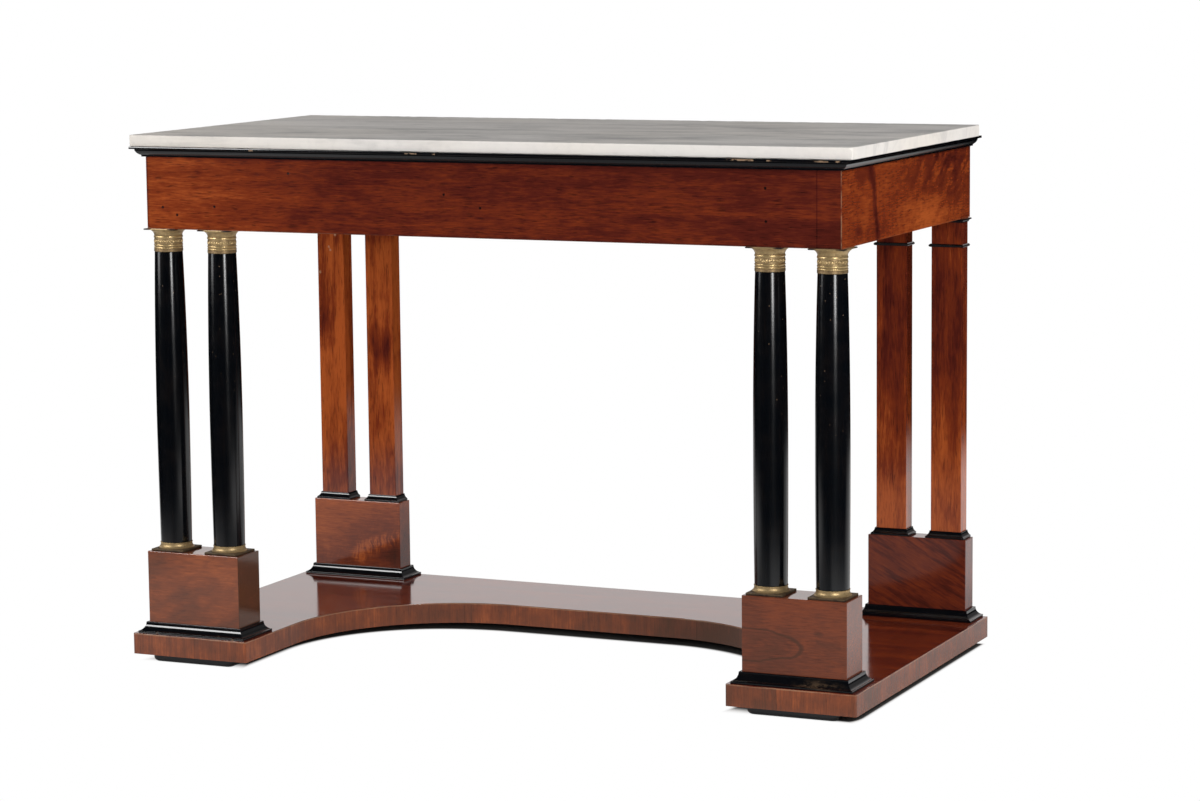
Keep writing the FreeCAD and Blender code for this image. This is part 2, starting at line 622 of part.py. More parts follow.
def make_cornice():
    """The ebonised cornice: three mitred strips that lie on the rails and stand out past the veneer."""
    face = RAIL_THICKNESS + VENEER
    p, h = CORNICE_PROJECTION, CORNICE_HEIGHT
    low = (face + 0.3 * p, 0.18 * h)
    high = (face + 0.65 * p, 0.62 * h)
    section = (
        (face + 0.25 * p, 0),
        (face + 0.25 * p, 0.18 * h),
        low,
        hollow_arc(low, high, -0.06 * p),
        (face + 0.65 * p, 0.72 * h),
        (face + p, 0.77 * h),
        (face + p, h),
        (0, h),
    )
    side, front, back = RAIL_INNER_SIDE, RAIL_INNER_FRONT, FRIEZE_BACK
    corners = [(side, back), (side, front), (-side, front), (-side, back)]
    strips = mitred_strips(section, face + p, h, corners, FRIEZE_TOP)
    for name, strip in zip(("right", "front", "left"), strips):
        save(f"cornice_{name}", strip)


# ---------------------------------------------------------------- marble
def make_marble():
    """The slab, with its upper and lower edges just broken."""
    side = FRIEZE_SIDE + CORNICE_PROJECTION + MARBLE_SIDE_OVERHANG
    front = FRIEZE_FRONT - CORNICE_PROJECTION + MARBLE_FRONT_SETBACK
    slab = box((-side, side), (front, FRIEZE_BACK - MARBLE_BACK_SETBACK), (MARBLE_BOTTOM, TABLE_HEIGHT))
    save("marble_slab", slab.makeChamfer(MARBLE_ARRIS, slab.Edges))


def main():
    os.makedirs("parts", exist_ok=True)
    make_feet()
    make_platform()
    make_block_screws()
    make_blocks()
    make_columns()
    make_pilasters()
    make_frieze()
    make_cornice()
    make_marble()


main()
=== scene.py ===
"""Dresses the pier table: marble, french-polished mahogany, ebonised mouldings and columns, gilt brass.

It is laid out as an add-on and run as a script.  Everything is in metres, in the table's own frame: +X to the
right, +Y to the wall behind and +Z up from the floor.
"""

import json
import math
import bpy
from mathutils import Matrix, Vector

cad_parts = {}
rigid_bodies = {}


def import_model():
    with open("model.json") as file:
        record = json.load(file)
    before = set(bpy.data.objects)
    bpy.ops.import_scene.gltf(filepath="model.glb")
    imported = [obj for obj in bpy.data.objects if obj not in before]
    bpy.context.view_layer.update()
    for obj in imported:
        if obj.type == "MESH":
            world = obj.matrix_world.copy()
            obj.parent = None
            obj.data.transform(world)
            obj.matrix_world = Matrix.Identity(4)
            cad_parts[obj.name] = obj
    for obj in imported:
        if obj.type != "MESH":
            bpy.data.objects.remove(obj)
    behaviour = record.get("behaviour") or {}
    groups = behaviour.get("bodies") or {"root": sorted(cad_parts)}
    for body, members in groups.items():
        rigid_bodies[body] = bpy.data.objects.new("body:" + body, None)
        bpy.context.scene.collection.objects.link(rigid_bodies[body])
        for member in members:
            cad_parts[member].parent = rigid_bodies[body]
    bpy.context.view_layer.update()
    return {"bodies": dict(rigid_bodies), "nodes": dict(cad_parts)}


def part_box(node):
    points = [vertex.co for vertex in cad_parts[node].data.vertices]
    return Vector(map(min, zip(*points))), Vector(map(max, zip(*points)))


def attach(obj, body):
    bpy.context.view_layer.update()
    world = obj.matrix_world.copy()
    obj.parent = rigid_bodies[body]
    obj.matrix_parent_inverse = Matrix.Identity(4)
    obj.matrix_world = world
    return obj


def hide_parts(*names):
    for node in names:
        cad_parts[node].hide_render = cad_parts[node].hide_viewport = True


bl_info = {
    "name": "Pier table",
    "version": (1, 0, 0),
    "blender": (4, 5, 0),
    "location": "3D View > Sidebar > Pier Table",
    "description": "Models and finishes an Empire pier table round its joinery",
    "category": "Object",
}

import bmesh
import bpy
from bpy.props import FloatProperty, FloatVectorProperty, IntProperty, PointerProperty
from mathutils import Matrix, Vector, noise

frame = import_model()
BODY = next(iter(frame["bodies"]))
MM = 0.001
UP = Vector((0, 0, 1))
BROAD = 12  # how many times its neighbour's area a face has where the edge between them stays crisp
SHARP = 0.4  # the angle in radians between faces from which their edge counts as sharp
NEAR = 1e-5  # how close points are that count as level
STRAIGHT = math.radians(165)  # an outline's corner flatter than this isn't softened
WORM_HOLE = 3.4 * MM  # how far from its middle a worm hole has faded out

COLUMNS = ("left_outer", "left_inner", "right_inner", "right_outer")
CORNERS = ("front_left", "front_right", "rear_left", "rear_right")


def level(node, top):
    """The height of a node's top or bottom."""
    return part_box(node)[1 if top else 0].z


FRIEZE_BOTTOM = level("frieze_veneer_front", top=False)
FRIEZE_TOP = level("frieze_veneer_front", top=True)
BLOCK_TOP = level("plinth_block_front_left", top=True)
PLATFORM_TOP = level("platform_top_veneer", top=True)
MARBLE_TOP = level("marble_slab", top=True)


# ---------------------------------------------------------------- what a user would change
def length(name, description, millimetres):
    return FloatProperty(name=name, description=description, default=millimetres * MM, min=0, unit="LENGTH")


def colour(name, description, red, green, blue):
    return FloatVectorProperty(
        name=name, description=description, default=(red, green, blue), min=0, max=1, size=3, subtype="COLOR"
    )


class PierTableSizes(bpy.types.PropertyGroup):
    """Small sizes that the joinery doesn't settle."""

    wood_arris: length("Wood arris", "Rounding of the edges of blocks, pilasters and frieze", 0.8)
    marble_arris: length("Marble arris", "Easing of the slab's edges", 1.1)
    marble_nibble: length("Marble nibble", "How far the slab's worn edges wander", 0.5)
    moulding_arris: length("Moulding arris", "Rounding of the sharp lines of the mouldings", 0.5)
    brass_arris: length("Brass arris", "Rounding of the edges of the brass", 0.35)
    column_foot: length("Column foot", "Radius of a shaft where it meets its base", 26.0)
    column_belly: length("Column belly", "Radius of a shaft at its widest", 27.1)
    column_shoulder: length("Column shoulder", "Radius of a shaft below its head", 26.3)
    column_top: length("Column top", "Radius of a shaft under its capital", 23.1)
    rosettes: IntProperty(name="Rosettes", description="Rosettes round a capital", default=20, min=4, max=40)
    turning_steps: IntProperty(name="Turning steps", description="Facets round turned pieces", default=72, min=16)


class PierTableColours(bpy.types.PropertyGroup):
    """The colours that the finishes start from."""

    wood_dark: colour("Mahogany, dark", "Late wood and shaded figure", 0.034, 0.0060, 0.0046)
    wood_middle: colour("Mahogany, middle", "The body of the wood", 0.085, 0.0128, 0.0078)
    wood_warm: colour("Mahogany, warm", "Red-brown wood", 0.190, 0.0310, 0.0090)
    wood_light: colour("Mahogany, light", "Bright orange streaks", 0.403, 0.0864, 0.0190)
    wood_faded: colour("Mahogany, faded", "What the red fades to", 0.215, 0.100, 0.050)
    wood_pore: colour("Mahogany, pores", "Filled pores and worm holes", 0.010, 0.0035, 0.0028)
    wood_worn: colour("Mahogany, worn", "Pale wood at rubbed corners", 0.440, 0.2700, 0.1600)
    ebony: colour("Ebonised wood", "Black stain under polish", 0.0018, 0.0024, 0.0036)
    ebony_thin: colour("Ebonised wood, thin", "Brown-black where the stain is thin", 0.0150, 0.0090, 0.0065)
    ebony_worn: colour("Ebonised wood, worn", "Brown wood where the stain has gone", 0.260, 0.160, 0.090)
    brass: colour("Gilt brass", "Bright raised brass", 0.690, 0.500, 0.245)
    brass_tarnish: colour("Gilt brass, tarnish", "Brown film in the hollows", 0.200, 0.130, 0.062)
    brass_black: colour("Gilt brass, black", "Blackened plates", 0.012, 0.007, 0.005)
    marble: colour("Marble", "Clean white marble", 0.780, 0.742, 0.704)
    marble_stain: colour("Marble, stained", "Faintly yellow marble", 0.780, 0.710, 0.620)
    marble_vein: colour("Marble, vein", "Soft grey veins", 0.300, 0.292, 0.284)
    softwood: colour("Softwood", "Old planed softwood", 0.330, 0.190, 0.085)
    iron: colour("Iron", "Dull screws", 0.060, 0.052, 0.046)
    floor: colour("Floor", "Plain pale floor", 0.800, 0.800, 0.800)


def sizes():
    return bpy.context.scene.pier_table_sizes


def colours():
    return bpy.context.scene.pier_table_colours


# ---------------------------------------------------------------- shaders
def arithmetic(operation, reflected=False):
    """A method of Socket that adds a Math node."""

    def method(self, other=0.0):
        first, second = (other, self) if reflected else (self, other)
        return self.shader.node("ShaderNodeMath", {"operation": operation}, {0: first, 1: second})

    return method


class Socket:
    """A node's output that takes part in Python arithmetic."""

    __add__, __radd__ = arithmetic("ADD"), arithmetic("ADD", reflected=True)
    __sub__, __rsub__ = arithmetic("SUBTRACT"), arithmetic("SUBTRACT", reflected=True)
    __mul__, __rmul__ = arithmetic("MULTIPLY"), arithmetic("MULTIPLY", reflected=True)
    __truediv__, __mod__, __pow__ = arithmetic("DIVIDE"), arithmetic("FLOORED_MODULO"), arithmetic("POWER")
    __abs__, at_least, at_most = arithmetic("ABSOLUTE"), arithmetic("MAXIMUM"), arithmetic("MINIMUM")

    def __init__(self, shader, output):
        self.shader = shader
        self.output = output

    def rise(self, start, end):
        """0 before start and 1 past end, smoothly between; start may be above end."""
        return self.shader.node(
            "ShaderNodeMapRange",
            {"interpolation_type": "SMOOTHSTEP"},
            {"Value": self, "From Min": start, "From Max": end},
        )


class Shader:
    """The nodes of one material or world."""

    def __init__(self, tree):
        self.tree = tree
        tree.nodes.clear()

    def node(self, kind, settings=None, sockets=None, output=0):
        """A node of that kind: its settings are set first, then its sockets get values or links."""
        made = self.tree.nodes.new(kind)
        for name, value in (settings or {}).items():
            if name == "stops":
                self._set_stops(made.color_ramp, value)
            else:
                setattr(made, name, value)
        for key, value in (sockets or {}).items():
            if isinstance(value, Socket):
                self.tree.links.new(value.output, made.inputs[key])
            else:
                made.inputs[key].default_value = value
        return Socket(self, made.outputs[output]) if made.outputs else None

    @staticmethod
    def _set_stops(ramp, stops):
        while len(ramp.elements) < len(stops):
            ramp.elements.new(1.0)
        for element, (position, stop_colour) in zip(ramp.elements, stops):
            element.position = position
            element.color = (*stop_colour, 1)

    def ramp(self, factor, *stops):
        return self.node("ShaderNodeValToRGB", {"stops": stops}, {"Fac": factor})

    def mix(self, factor, first, second):
        """A colour between first and second."""
        first, second = (c if isinstance(c, Socket) else (*c, 1) for c in (first, second))
        settings = {"data_type": "RGBA", "blend_type": "MIX", "clamp_factor": True}
        return self.node("ShaderNodeMix", settings, {0: factor, 6: first, 7: second}, output=2)

    def vector(self, operation, first, second=(0, 0, 0), output=0):
        return self.node("ShaderNodeVectorMath", {"operation": operation}, {0: first, 1: second}, output)

    def place(self, shift=(0, 0, 0), turn=(0, 0, 0)):
        """Object coordinates, shifted and then turned."""
        moved = self.vector("ADD", self.node("ShaderNodeTexCoord", output="Object"), shift)
        return self.node("ShaderNodeMapping", None, {"Vector": moved, "Rotation": turn})

    def stretch(self, place, factors):
        return self.vector("MULTIPLY", place, factors)

    def warp(self, place, scale, reach):
        """Places pushed about by soft noise, up to about reach."""
        push = self.node("ShaderNodeTexNoise", None, {"Vector": place, "Scale": scale, "Detail": 3.0}, output="Color")
        push = self.vector("SUBTRACT", push, (0.5, 0.5, 0.5))
        return self.vector("ADD", place, self.stretch(push, (4 * reach,) * 3))

    def spot(self, place, centre, size):
        """1 at the centre, falling to 0 at size from it along each axis."""
        away = self.vector("DIVIDE", self.vector("SUBTRACT", place, centre), size)
        return self.vector("LENGTH", away, output=1).rise(1.0, 0.0)

    def stroke(self, place, start, end, width):
        """1 on the straight line from start to end, falling to 0 at width beside it."""
        run = Vector(end) - Vector(start)
        away = self.vector("SUBTRACT", place, start)
        share = self.vector("DOT_PRODUCT", away, run / run.length_squared, output=1)
        foot = self.node("ShaderNodeVectorMath", {"operation": "SCALE"}, {0: run, 3: share.at_least(0.0).at_most(1.0)})
        return self.vector("DISTANCE", away, foot, output=1).rise(width, 0.0)

    def split(self, place):
        """The X, Y and Z of a place."""
        made = self.node("ShaderNodeSeparateXYZ", None, {0: place})
        return [Socket(self, output) for output in made.output.node.outputs]

    def height(self):
        """How far up from the floor."""
        return self.split(self.place())[2]

    def noise(self, place, scale=1.0, detail=2.0, roughness=0.5, distortion=0.0):
        """Soft noise from 0 to 1, whose scale may be a number or one for each axis."""
        if isinstance(scale, tuple):
            place, scale = self.stretch(place, scale), 1.0
        sockets = {"Vector": place, "Scale": scale, "Detail": detail, "Roughness": roughness}
        return self.node("ShaderNodeTexNoise", None, {**sockets, "Distortion": distortion})

    def specks(self, place, scale, radius, share):
        """Small spots: 1 inside each, in that share of the cells.  radius is in metres and scale in cells a metre."""
        sockets = {"Vector": place, "Scale": scale}
        distance = self.node("ShaderNodeTexVoronoi", None, sockets, output="Distance")
        cell = self.node("ShaderNodeTexVoronoi", None, sockets, output="Color")
        chosen = self.node("ShaderNodeSeparateColor", None, {0: cell}).rise(1 - share, 1.001 - share)
        return distance.rise(radius * scale, radius * scale * 0.5) * chosen

    def bump(self, height, depth):
        return self.node("ShaderNodeBump", None, {"Strength": 1.0, "Distance": depth, "Height": height})

    def surface(self, **sockets):
        """Ends a material in a Principled BSDF; names are its sockets' with _ for each space."""
        named = {name.replace("_", " "): value for name, value in sockets.items()}
        for name, value in named.items():
            if "Color" in name and not isinstance(value, Socket):
                named[name] = (*value, 1)
        made = self.node("ShaderNodeBsdfPrincipled", None, named)
        self.node("ShaderNodeOutputMaterial", None, {"Surface": made})


def new_material(name):
    """A material and the shader that builds its nodes."""
    material = bpy.data.materials.new(name)
    material.use_nodes = True
    return material, Shader(material.node_tree)


SLANT = (0, math.radians(-28), 0)  # down to the right, along X
GRAIN_TURNS = {
    "X": (0, 0, 0),
    "X slanting": SLANT,
    "Y": (0, 0, math.radians(-90)),
    "Z": (0, math.radians(90), 0),
}


def wood_tone(shader, tone):
    """Mahogany's colour, from dark at 0 to light at 1."""
    tones = colours()
    return shader.ramp(
        tone, (0.25, tones.wood_dark), (0.45, tones.wood_middle), (0.65, tones.wood_warm), (0.88, tones.wood_light)
    )


def mahogany(
    name,
    along,
    seed,
    tone,
    figure=None,
    worn=None,
    cloudy=0.25,
    streaky=0.55,
    flecked=0.42,
    faded=0.0,
    holes=(),
    satin=0.06,
):
    """French-polished mahogany whose grain runs along X, Y or Z, or slants down along X.

    seed picks the piece of veneer, tone is how light it is from 0 to 1, and figure and worn are functions of the
    shader that change the tone and bare pale wood.  cloudy, streaky and flecked are how far clouds, streaks and
    dark flecks reach, faded is how brown the red has gone, satin how rough the polish is, and holes places worm
    holes.
    """
    material, shader = new_material(name)
    tones = colours()
    here = shader.place()
    grain = shader.place(shift=(seed * 0.37, seed * 0.53, seed * 0.71), turn=GRAIN_TURNS[along])
    streaks = shader.noise(grain, (3.4, 42, 42), detail=4, roughness=0.62, distortion=0.5)
    fibre = shader.noise(grain, (40, 380, 380), detail=3, roughness=0.65)
    cloud = shader.noise(grain, (6, 11, 11), detail=3, roughness=0.55, distortion=0.8)
    mottle = shader.noise(grain, (30, 60, 60), detail=3, roughness=0.6)
    flecks = shader.noise(grain, (44, 560, 560), detail=2).rise(0.56, 0.70)
    pores = shader.noise(grain, (75, 1500, 1500), detail=1).rise(0.62, 0.72)
    tone = (streaks - 0.5) * streaky + (fibre - 0.5) * 0.42 + (mottle - 0.5) * 0.18 + (cloud - 0.5) * cloudy + tone
    if figure:
        tone = tone + figure(shader)
    wood = wood_tone(shader, tone)
    if faded:
        wood = shader.mix(faded, wood, tones.wood_faded)
    dark = flecks * flecked + pores * 0.22
    for hole in holes:
        dark = dark + shader.spot(here, hole, (WORM_HOLE,) * 3) * 1.5
    wood = shader.mix(dark, wood, tones.wood_pore)
    if worn:
        wood = shader.mix(worn(shader), wood, tones.wood_worn)
    shader.surface(
        Base_Color=wood,
        Roughness=cloud * 0.05 + dark * 0.06 + satin,
        Normal=shader.bump(streaks * 0.5 + mottle * 0.25 + fibre * 0.05 - dark * 0.08, 0.00016),
    )
    return material


def ebonised(name, seed=0.0, wear=None, along="X", thin=0.15, satin=0.09):
    """Black-stained polished wood.

    wear is a function of the shader that bares wood, thin is how brown the stain is and satin how rough the polish.
    """
    material, shader = new_material(name)
    tones = colours()
    grain = shader.place(shift=(seed * 0.31, seed * 0.17, seed * 0.23), turn=GRAIN_TURNS[along])
    fibre = shader.noise(grain, (14, 420, 420), detail=2, roughness=0.6)
    film = shader.noise(grain, scale=26, detail=4, roughness=0.65)
    nicks = shader.specks(grain, 60, 0.0010, 0.16)
    bare = nicks * 0.5
    if wear:
        bare = bare + wear(shader)
    black = shader.mix(film.rise(0.40, 0.75) * thin + fibre.rise(0.5, 0.8) * thin, tones.ebony, tones.ebony_thin)
    black = shader.mix(bare, black, tones.ebony_worn)
    shader.surface(
        Base_Color=black,
        Roughness=film * 0.08 + bare * 0.3 + satin,
        Normal=shader.bump(film * 0.5 + fibre * 0.04 - bare * 0.3, 0.00012),
    )
    return material


def gilt_brass(name, dulled=0.0):
    """Gilt brass with a brown film where the mesh attribute called hollow is 1, and black where it is 2."""
    material, shader = new_material(name)
    tones = colours()
    place = shader.place()
    hollow = shader.node("ShaderNodeAttribute", {"attribute_name": "hollow"}, output="Fac")
    film = shader.noise(place, scale=160, detail=4, roughness=0.7)
    spots = shader.noise(place, scale=650, detail=2).rise(0.60, 0.74)
    dull = hollow + film.rise(0.44, 0.80) * 0.45 + spots * 0.22 + dulled
    gilt = shader.ramp(dull * 0.5, (0.0, tones.brass), (0.5, tones.brass_tarnish), (0.95, tones.brass_black))
    shader.surface(
        Base_Color=gilt,
        Metallic=0.84 - dull * 0.30,
        Roughness=0.33 + dull * 0.20,
        Normal=shader.bump(film * 0.5 - spots * 0.3, 0.00003),
    )
    return material


def veined_marble(name):
    """White marble with soft grey veins, whose top is greyer than its sides and eased edges from wear and painted
    shade.
    """
    material, shader = new_material(name)
    tones = colours()
    place = shader.place()
    drift = shader.noise(place, (1.2, 7.5, 5.5), detail=5, roughness=0.62, distortion=0.9)
    cloud = shader.noise(place, (3.6, 10.0, 9.0), detail=6, roughness=0.66, distortion=0.5)
    veins = abs(drift - 0.5).rise(0.045, 0.0) * cloud.rise(0.35, 0.65)
    mottle = shader.noise(place, scale=70, detail=5, roughness=0.7)
    x, _, z = shader.split(place)
    # wear and painted shade: the top is made greyer than the sides, more so towards the left
    worn_and_shaded_top = z.rise(MARBLE_TOP - 0.0011, MARBLE_TOP - 0.0001)
    grey = cloud.rise(0.35, 0.70) * (0.10 + worn_and_shaded_top * 0.24) + veins * (0.20 + worn_and_shaded_top * 0.06)
    grey = grey + mottle.rise(0.45, 0.75) * 0.10 + worn_and_shaded_top * (0.37 + x.rise(-0.65, -0.15) * 0.13)
    stained = shader.mix(shader.noise(place, scale=3.2).rise(0.40, 0.65) * 0.45, tones.marble, tones.marble_stain)
    scratches = shader.noise(place, (300, 30, 30), detail=2).rise(0.60, 0.75)
    shader.surface(
        Base_Color=shader.mix(grey, stained, tones.marble_vein),
        Roughness=0.52 + mottle * 0.16 + scratches * 0.08,
        Specular_IOR_Level=0.18,
        Normal=shader.bump(mottle * 0.6 + scratches * 0.2, 0.00020),
    )
    return material


def planed_softwood(name, along):
    """Unpolished softwood with growth lines, plane marks and the grey of age."""
    material, shader = new_material(name)
    tones = colours()
    grain = shader.place(turn=GRAIN_TURNS[along])
    bend = shader.noise(grain, (2, 6, 6), detail=2)
    _, across, deep = shader.split(grain)
    rings = ((across + deep * 0.4 + bend * 0.03) * 150) % 1.0
    late = rings.rise(0.45, 0.95) * rings.rise(1.0, 0.94)
    fibre = shader.noise(grain, (12, 500, 500), detail=3, roughness=0.65)
    stain = shader.noise(grain, scale=9, detail=4, roughness=0.6)
    knots = shader.specks(grain, 6, 0.006, 0.3)
    light = [min(c * 1.35, 1) for c in tones.softwood]
    dark = [c * 0.45 for c in tones.softwood]
    wood = shader.mix(late * 0.55 + fibre * 0.25, light, tones.softwood)
    wood = shader.mix(stain.rise(0.45, 0.80) * 0.55 + knots * 0.8, wood, dark)
    shader.surface(
        Base_Color=wood,
        Roughness=0.72 + fibre * 0.15,
        Normal=shader.bump(fibre * 0.5 + late * 0.4, 0.0003),
    )
    return material


def dull_iron(name):
    material, shader = new_material(name)
    tones = colours()
    rust = shader.noise(shader.place(), scale=260, detail=4, roughness=0.7).rise(0.45, 0.7)
    shader.surface(
        Base_Color=shader.mix(rust * 0.7, tones.iron, (0.11, 0.035, 0.012)),
        Metallic=0.8 - rust * 0.6,
        Roughness=0.5 + rust * 0.3,
        Normal=shader.bump(rust, 0.0001),
    )
    return material


# ---------------------------------------------------------------- modelling
def box(low, high):
    """A bmesh box between two corners."""
    bm = bmesh.new()
    bmesh.ops.create_cube(bm, size=1.0)
    bmesh.ops.scale(bm, vec=high - low, verts=bm.verts)
    bmesh.ops.translate(bm, vec=(low + high) / 2, verts=bm.verts)
    return bm


def everything(bm):
    return [*bm.verts, *bm.edges, *bm.faces]


def verts_in(geom):
    return [part for part in geom if isinstance(part, bmesh.types.BMVert)]


def edges_in(geom):
    return [part for part in geom if isinstance(part, bmesh.types.BMEdge)]


def edges_along(bm, axis):
    """The edges whose ends differ along an axis."""
    return [e for e in bm.edges if abs(e.verts[0].co[axis] - e.verts[1].co[axis]) > NEAR]


def edges_at(bm, axis, place):
    """The edges that lie at one place along an axis."""
    return [e for e in bm.edges if all(abs(v.co[axis] - place) < NEAR for v in e.verts)]


def sharp_edges(bm):
    return [e for e in bm.edges if e.calc_face_angle(0.0) > SHARP]


def ease(bm, edges, width, segments=3):
    """Rounds edges."""
    bmesh.ops.bevel(
        bm,
        geom=list(edges),
        offset=width,
        offset_type="OFFSET",
        affect="EDGES",
        segments=segments,
        profile=0.5,
        material=-1,
    )


def softened(outline, radius):
    """An outline with each of its corners rounded by three points, radius or less from the corner."""
    points = [Vector(p) for p in outline]
    count = len(points)
    made = []
    for n, here in enumerate(points):
        if n in (0, count - 1):
            made.append(here)
            continue
        to_before, to_after = points[n - 1] - here, points[n + 1] - here
        if to_before.angle(to_after) > STRAIGHT:
            made.append(here)
            continue
        start = here + to_before.normalized() * min(radius, to_before.length * 0.4)
        end = here + to_after.normalized() * min(radius, to_after.length * 0.4)
        made += [start, (start + here * 2 + end) / 4, end]
    return made


def curve(start, end, sag, steps=8):
    """The points from just past start to end on an arc that leaves the straight line by sag, to its left."""
    start, end = Vector(start), Vector(end)
    chord = end - start
    left = Vector((-chord.y, chord.x)).normalized()
    points = []
    for n in range(1, steps + 1):
        t = n / steps
        points.append(start + chord * t + left * (sag * 4 * t * (1 - t)))
    return points


def turned(profile, x, y, closed=False):
    """A turned piece about the upright through (x, y) from (radius, height) points."""
    bm = bmesh.new()
    verts = [bm.verts.new((radius, 0, height)) for radius, height in profile]
    pairs = list(zip(verts, verts[1:]))
    if closed:
        pairs.append((verts[-1], verts[0]))
    edges = [bm.edges.new(pair) for pair in pairs]
    bmesh.ops.spin(
        bm,
        geom=verts + edges,
        cent=(0, 0, 0),
        axis=UP,
        angle=math.tau,
        steps=sizes().turning_steps,
        use_merge=True,
    )
    bmesh.ops.remove_doubles(bm, verts=bm.verts, dist=1e-6)
    bmesh.ops.translate(bm, vec=(x, y, 0), verts=bm.verts)
    bmesh.ops.recalc_face_normals(bm, faces=bm.faces)
    return bm


def absorb(bm, other):
    """Adds another bmesh's shape to bm and frees it."""
    mesh = bpy.data.meshes.new("carrier")
    other.to_mesh(mesh)
    other.free()
    bm.from_mesh(mesh)
    bpy.data.meshes.remove(mesh)


def cut_off(bm, point, normal, dist=0.0):
    """Takes away what lies past a plane, and closes the cut; points within dist of the plane lie on it."""
    cut = bmesh.ops.bisect_plane(
        bm, geom=everything(bm), dist=dist, plane_co=point, plane_no=normal, clear_outer=True
    )["geom_cut"]
    bmesh.ops.contextual_create(bm, geom=edges_in(cut))


def moulded_length(section, start, end, mitre_start, mitre_end):
    """A length of moulding from start to end whose outer side lies to the left of the way it runs.

    section is an outline of (out, up) points.  Ends are mitred for a turn to the right, or square.
    """
    way = (end - start).normalized()
    out = Vector((-way.y, way.x, 0))
    reach = max(point[0] for point in section)
    bm = bmesh.new()
    foot = start - way * reach
    verts = [bm.verts.new(foot + out * across + UP * up) for across, up in section]
    rim = [bm.edges.new(pair) for pair in zip(verts, verts[1:] + verts[:1])]
    face = bmesh.ops.contextual_create(bm, geom=rim)["faces"]
    far = verts_in(bmesh.ops.extrude_face_region(bm, geom=face, use_keep_orig=True)["geom"])
    bmesh.ops.translate(bm, vec=end - start + way * 2 * reach, verts=far)
    cut_off(bm, start, -way - out if mitre_start else -way, dist=1e-7)
    cut_off(bm, end, way - out if mitre_end else way, dist=1e-7)
    bmesh.ops.recalc_face_normals(bm, faces=bm.faces)
    return bm


def moulding(section, corners, closed=False):
    """Mitred lengths round corners that are given clockwise, as one bmesh of separate shells."""
    bm = bmesh.new()
    ends = corners + corners[:1] if closed else corners
    runs = list(zip(ends, ends[1:]))
    for n, (start, end) in enumerate(runs):
        absorb(bm, moulded_length(section, start, end, closed or n > 0, closed or n < len(runs) - 1))
    return bm


def finish(name, bm, material, slot, *nodes, smooth=30):
    """Makes the object of a bmesh, which stands for CAD nodes and rides on the table.

    Edges sharper than smooth degrees stay crisp, and so do those between a broad face and a narrow one, so that
    broad faces mirror straight.
    """
    areas = [face.calc_area() for face in bm.faces]
    bm.faces.index_update()
    for edge in bm.edges:
        beside = [areas[face.index] for face in edge.link_faces]
        uneven = max(beside, default=0) > BROAD * min(beside, default=0)
        edge.smooth = not uneven and edge.calc_face_angle(0.0) < math.radians(smooth)
    mesh = bpy.data.meshes.new(name)
    bm.to_mesh(mesh)
    bm.free()
    mesh.shade_smooth()
    mesh.materials.append(material)
    piece = bpy.data.objects.new(name, mesh)
    bpy.context.scene.collection.objects.link(piece)
    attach(piece, BODY)
    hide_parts(*nodes)
    return piece


def corner_points(low, high, z):
    """The four corners of a box's plan, clockwise seen from above, from its left back corner."""
    return [Vector((x, y, z)) for x, y in ((low.x, high.y), (high.x, high.y), (high.x, low.y), (low.x, low.y))]


# ---------------------------------------------------------------- the operators
class PierTableOperator:
    """What the operators have in common."""

    bl_options = {"REGISTER", "UNDO"}


class MakeMarble(PierTableOperator, bpy.types.Operator):
    """Model the slab, with its worn edges and the chips at its front right corner"""

    bl_idname = "pier_table.make_marble"
    bl_label = "Marble slab"

    CUTS = (119, 59)  # along its length and its depth
    CHIPS = (  # whether it is off the upper corner, how deep it goes and the way it faces
        (True, 3.5 * MM, (1.0, -0.7, 0.9)),
        (False, 2.2 * MM, (0.8, -1.0, -0.8)),
    )

    def execute(self, context):
        low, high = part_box("marble_slab")
        bm = box(low, high)
        for axis, cuts in enumerate(self.CUTS):
            bmesh.ops.subdivide_edges(bm, edges=edges_along(bm, axis), cuts=cuts, use_grid_fill=True)
        for above, depth, way in self.CHIPS:
            way = Vector(way).normalized()
            cut_off(bm, Vector((high.x, low.y, high.z if above else low.z)) - way * depth, way)
        ease(bm, sharp_edges(bm), sizes().marble_arris)
        self.wear(bm, low, high)
        finish("marble_top", bm, veined_marble("marble"), "marble", "marble_slab", smooth=50)
        return {"FINISHED"}

    @staticmethod
    def wear(bm, low, high):
        """Draws the rim inwards by a little noise, so that nothing stands out of the slab's box."""
        nibble, rim = sizes().marble_nibble, sizes().marble_arris * 1.5
        middle = (low + high) / 2
        for vert in bm.verts:
            near = [i for i in range(3) if min(abs(vert.co[i] - low[i]), abs(vert.co[i] - high[i])) < rim]
            if len(near) < 2:
                continue
            depth = nibble * max(0.0, noise.noise(vert.co * 90) + 0.8 * noise.noise(vert.co * 300))
            for i in near:
                vert.co[i] += math.copysign(depth, middle[i] - vert.co[i])


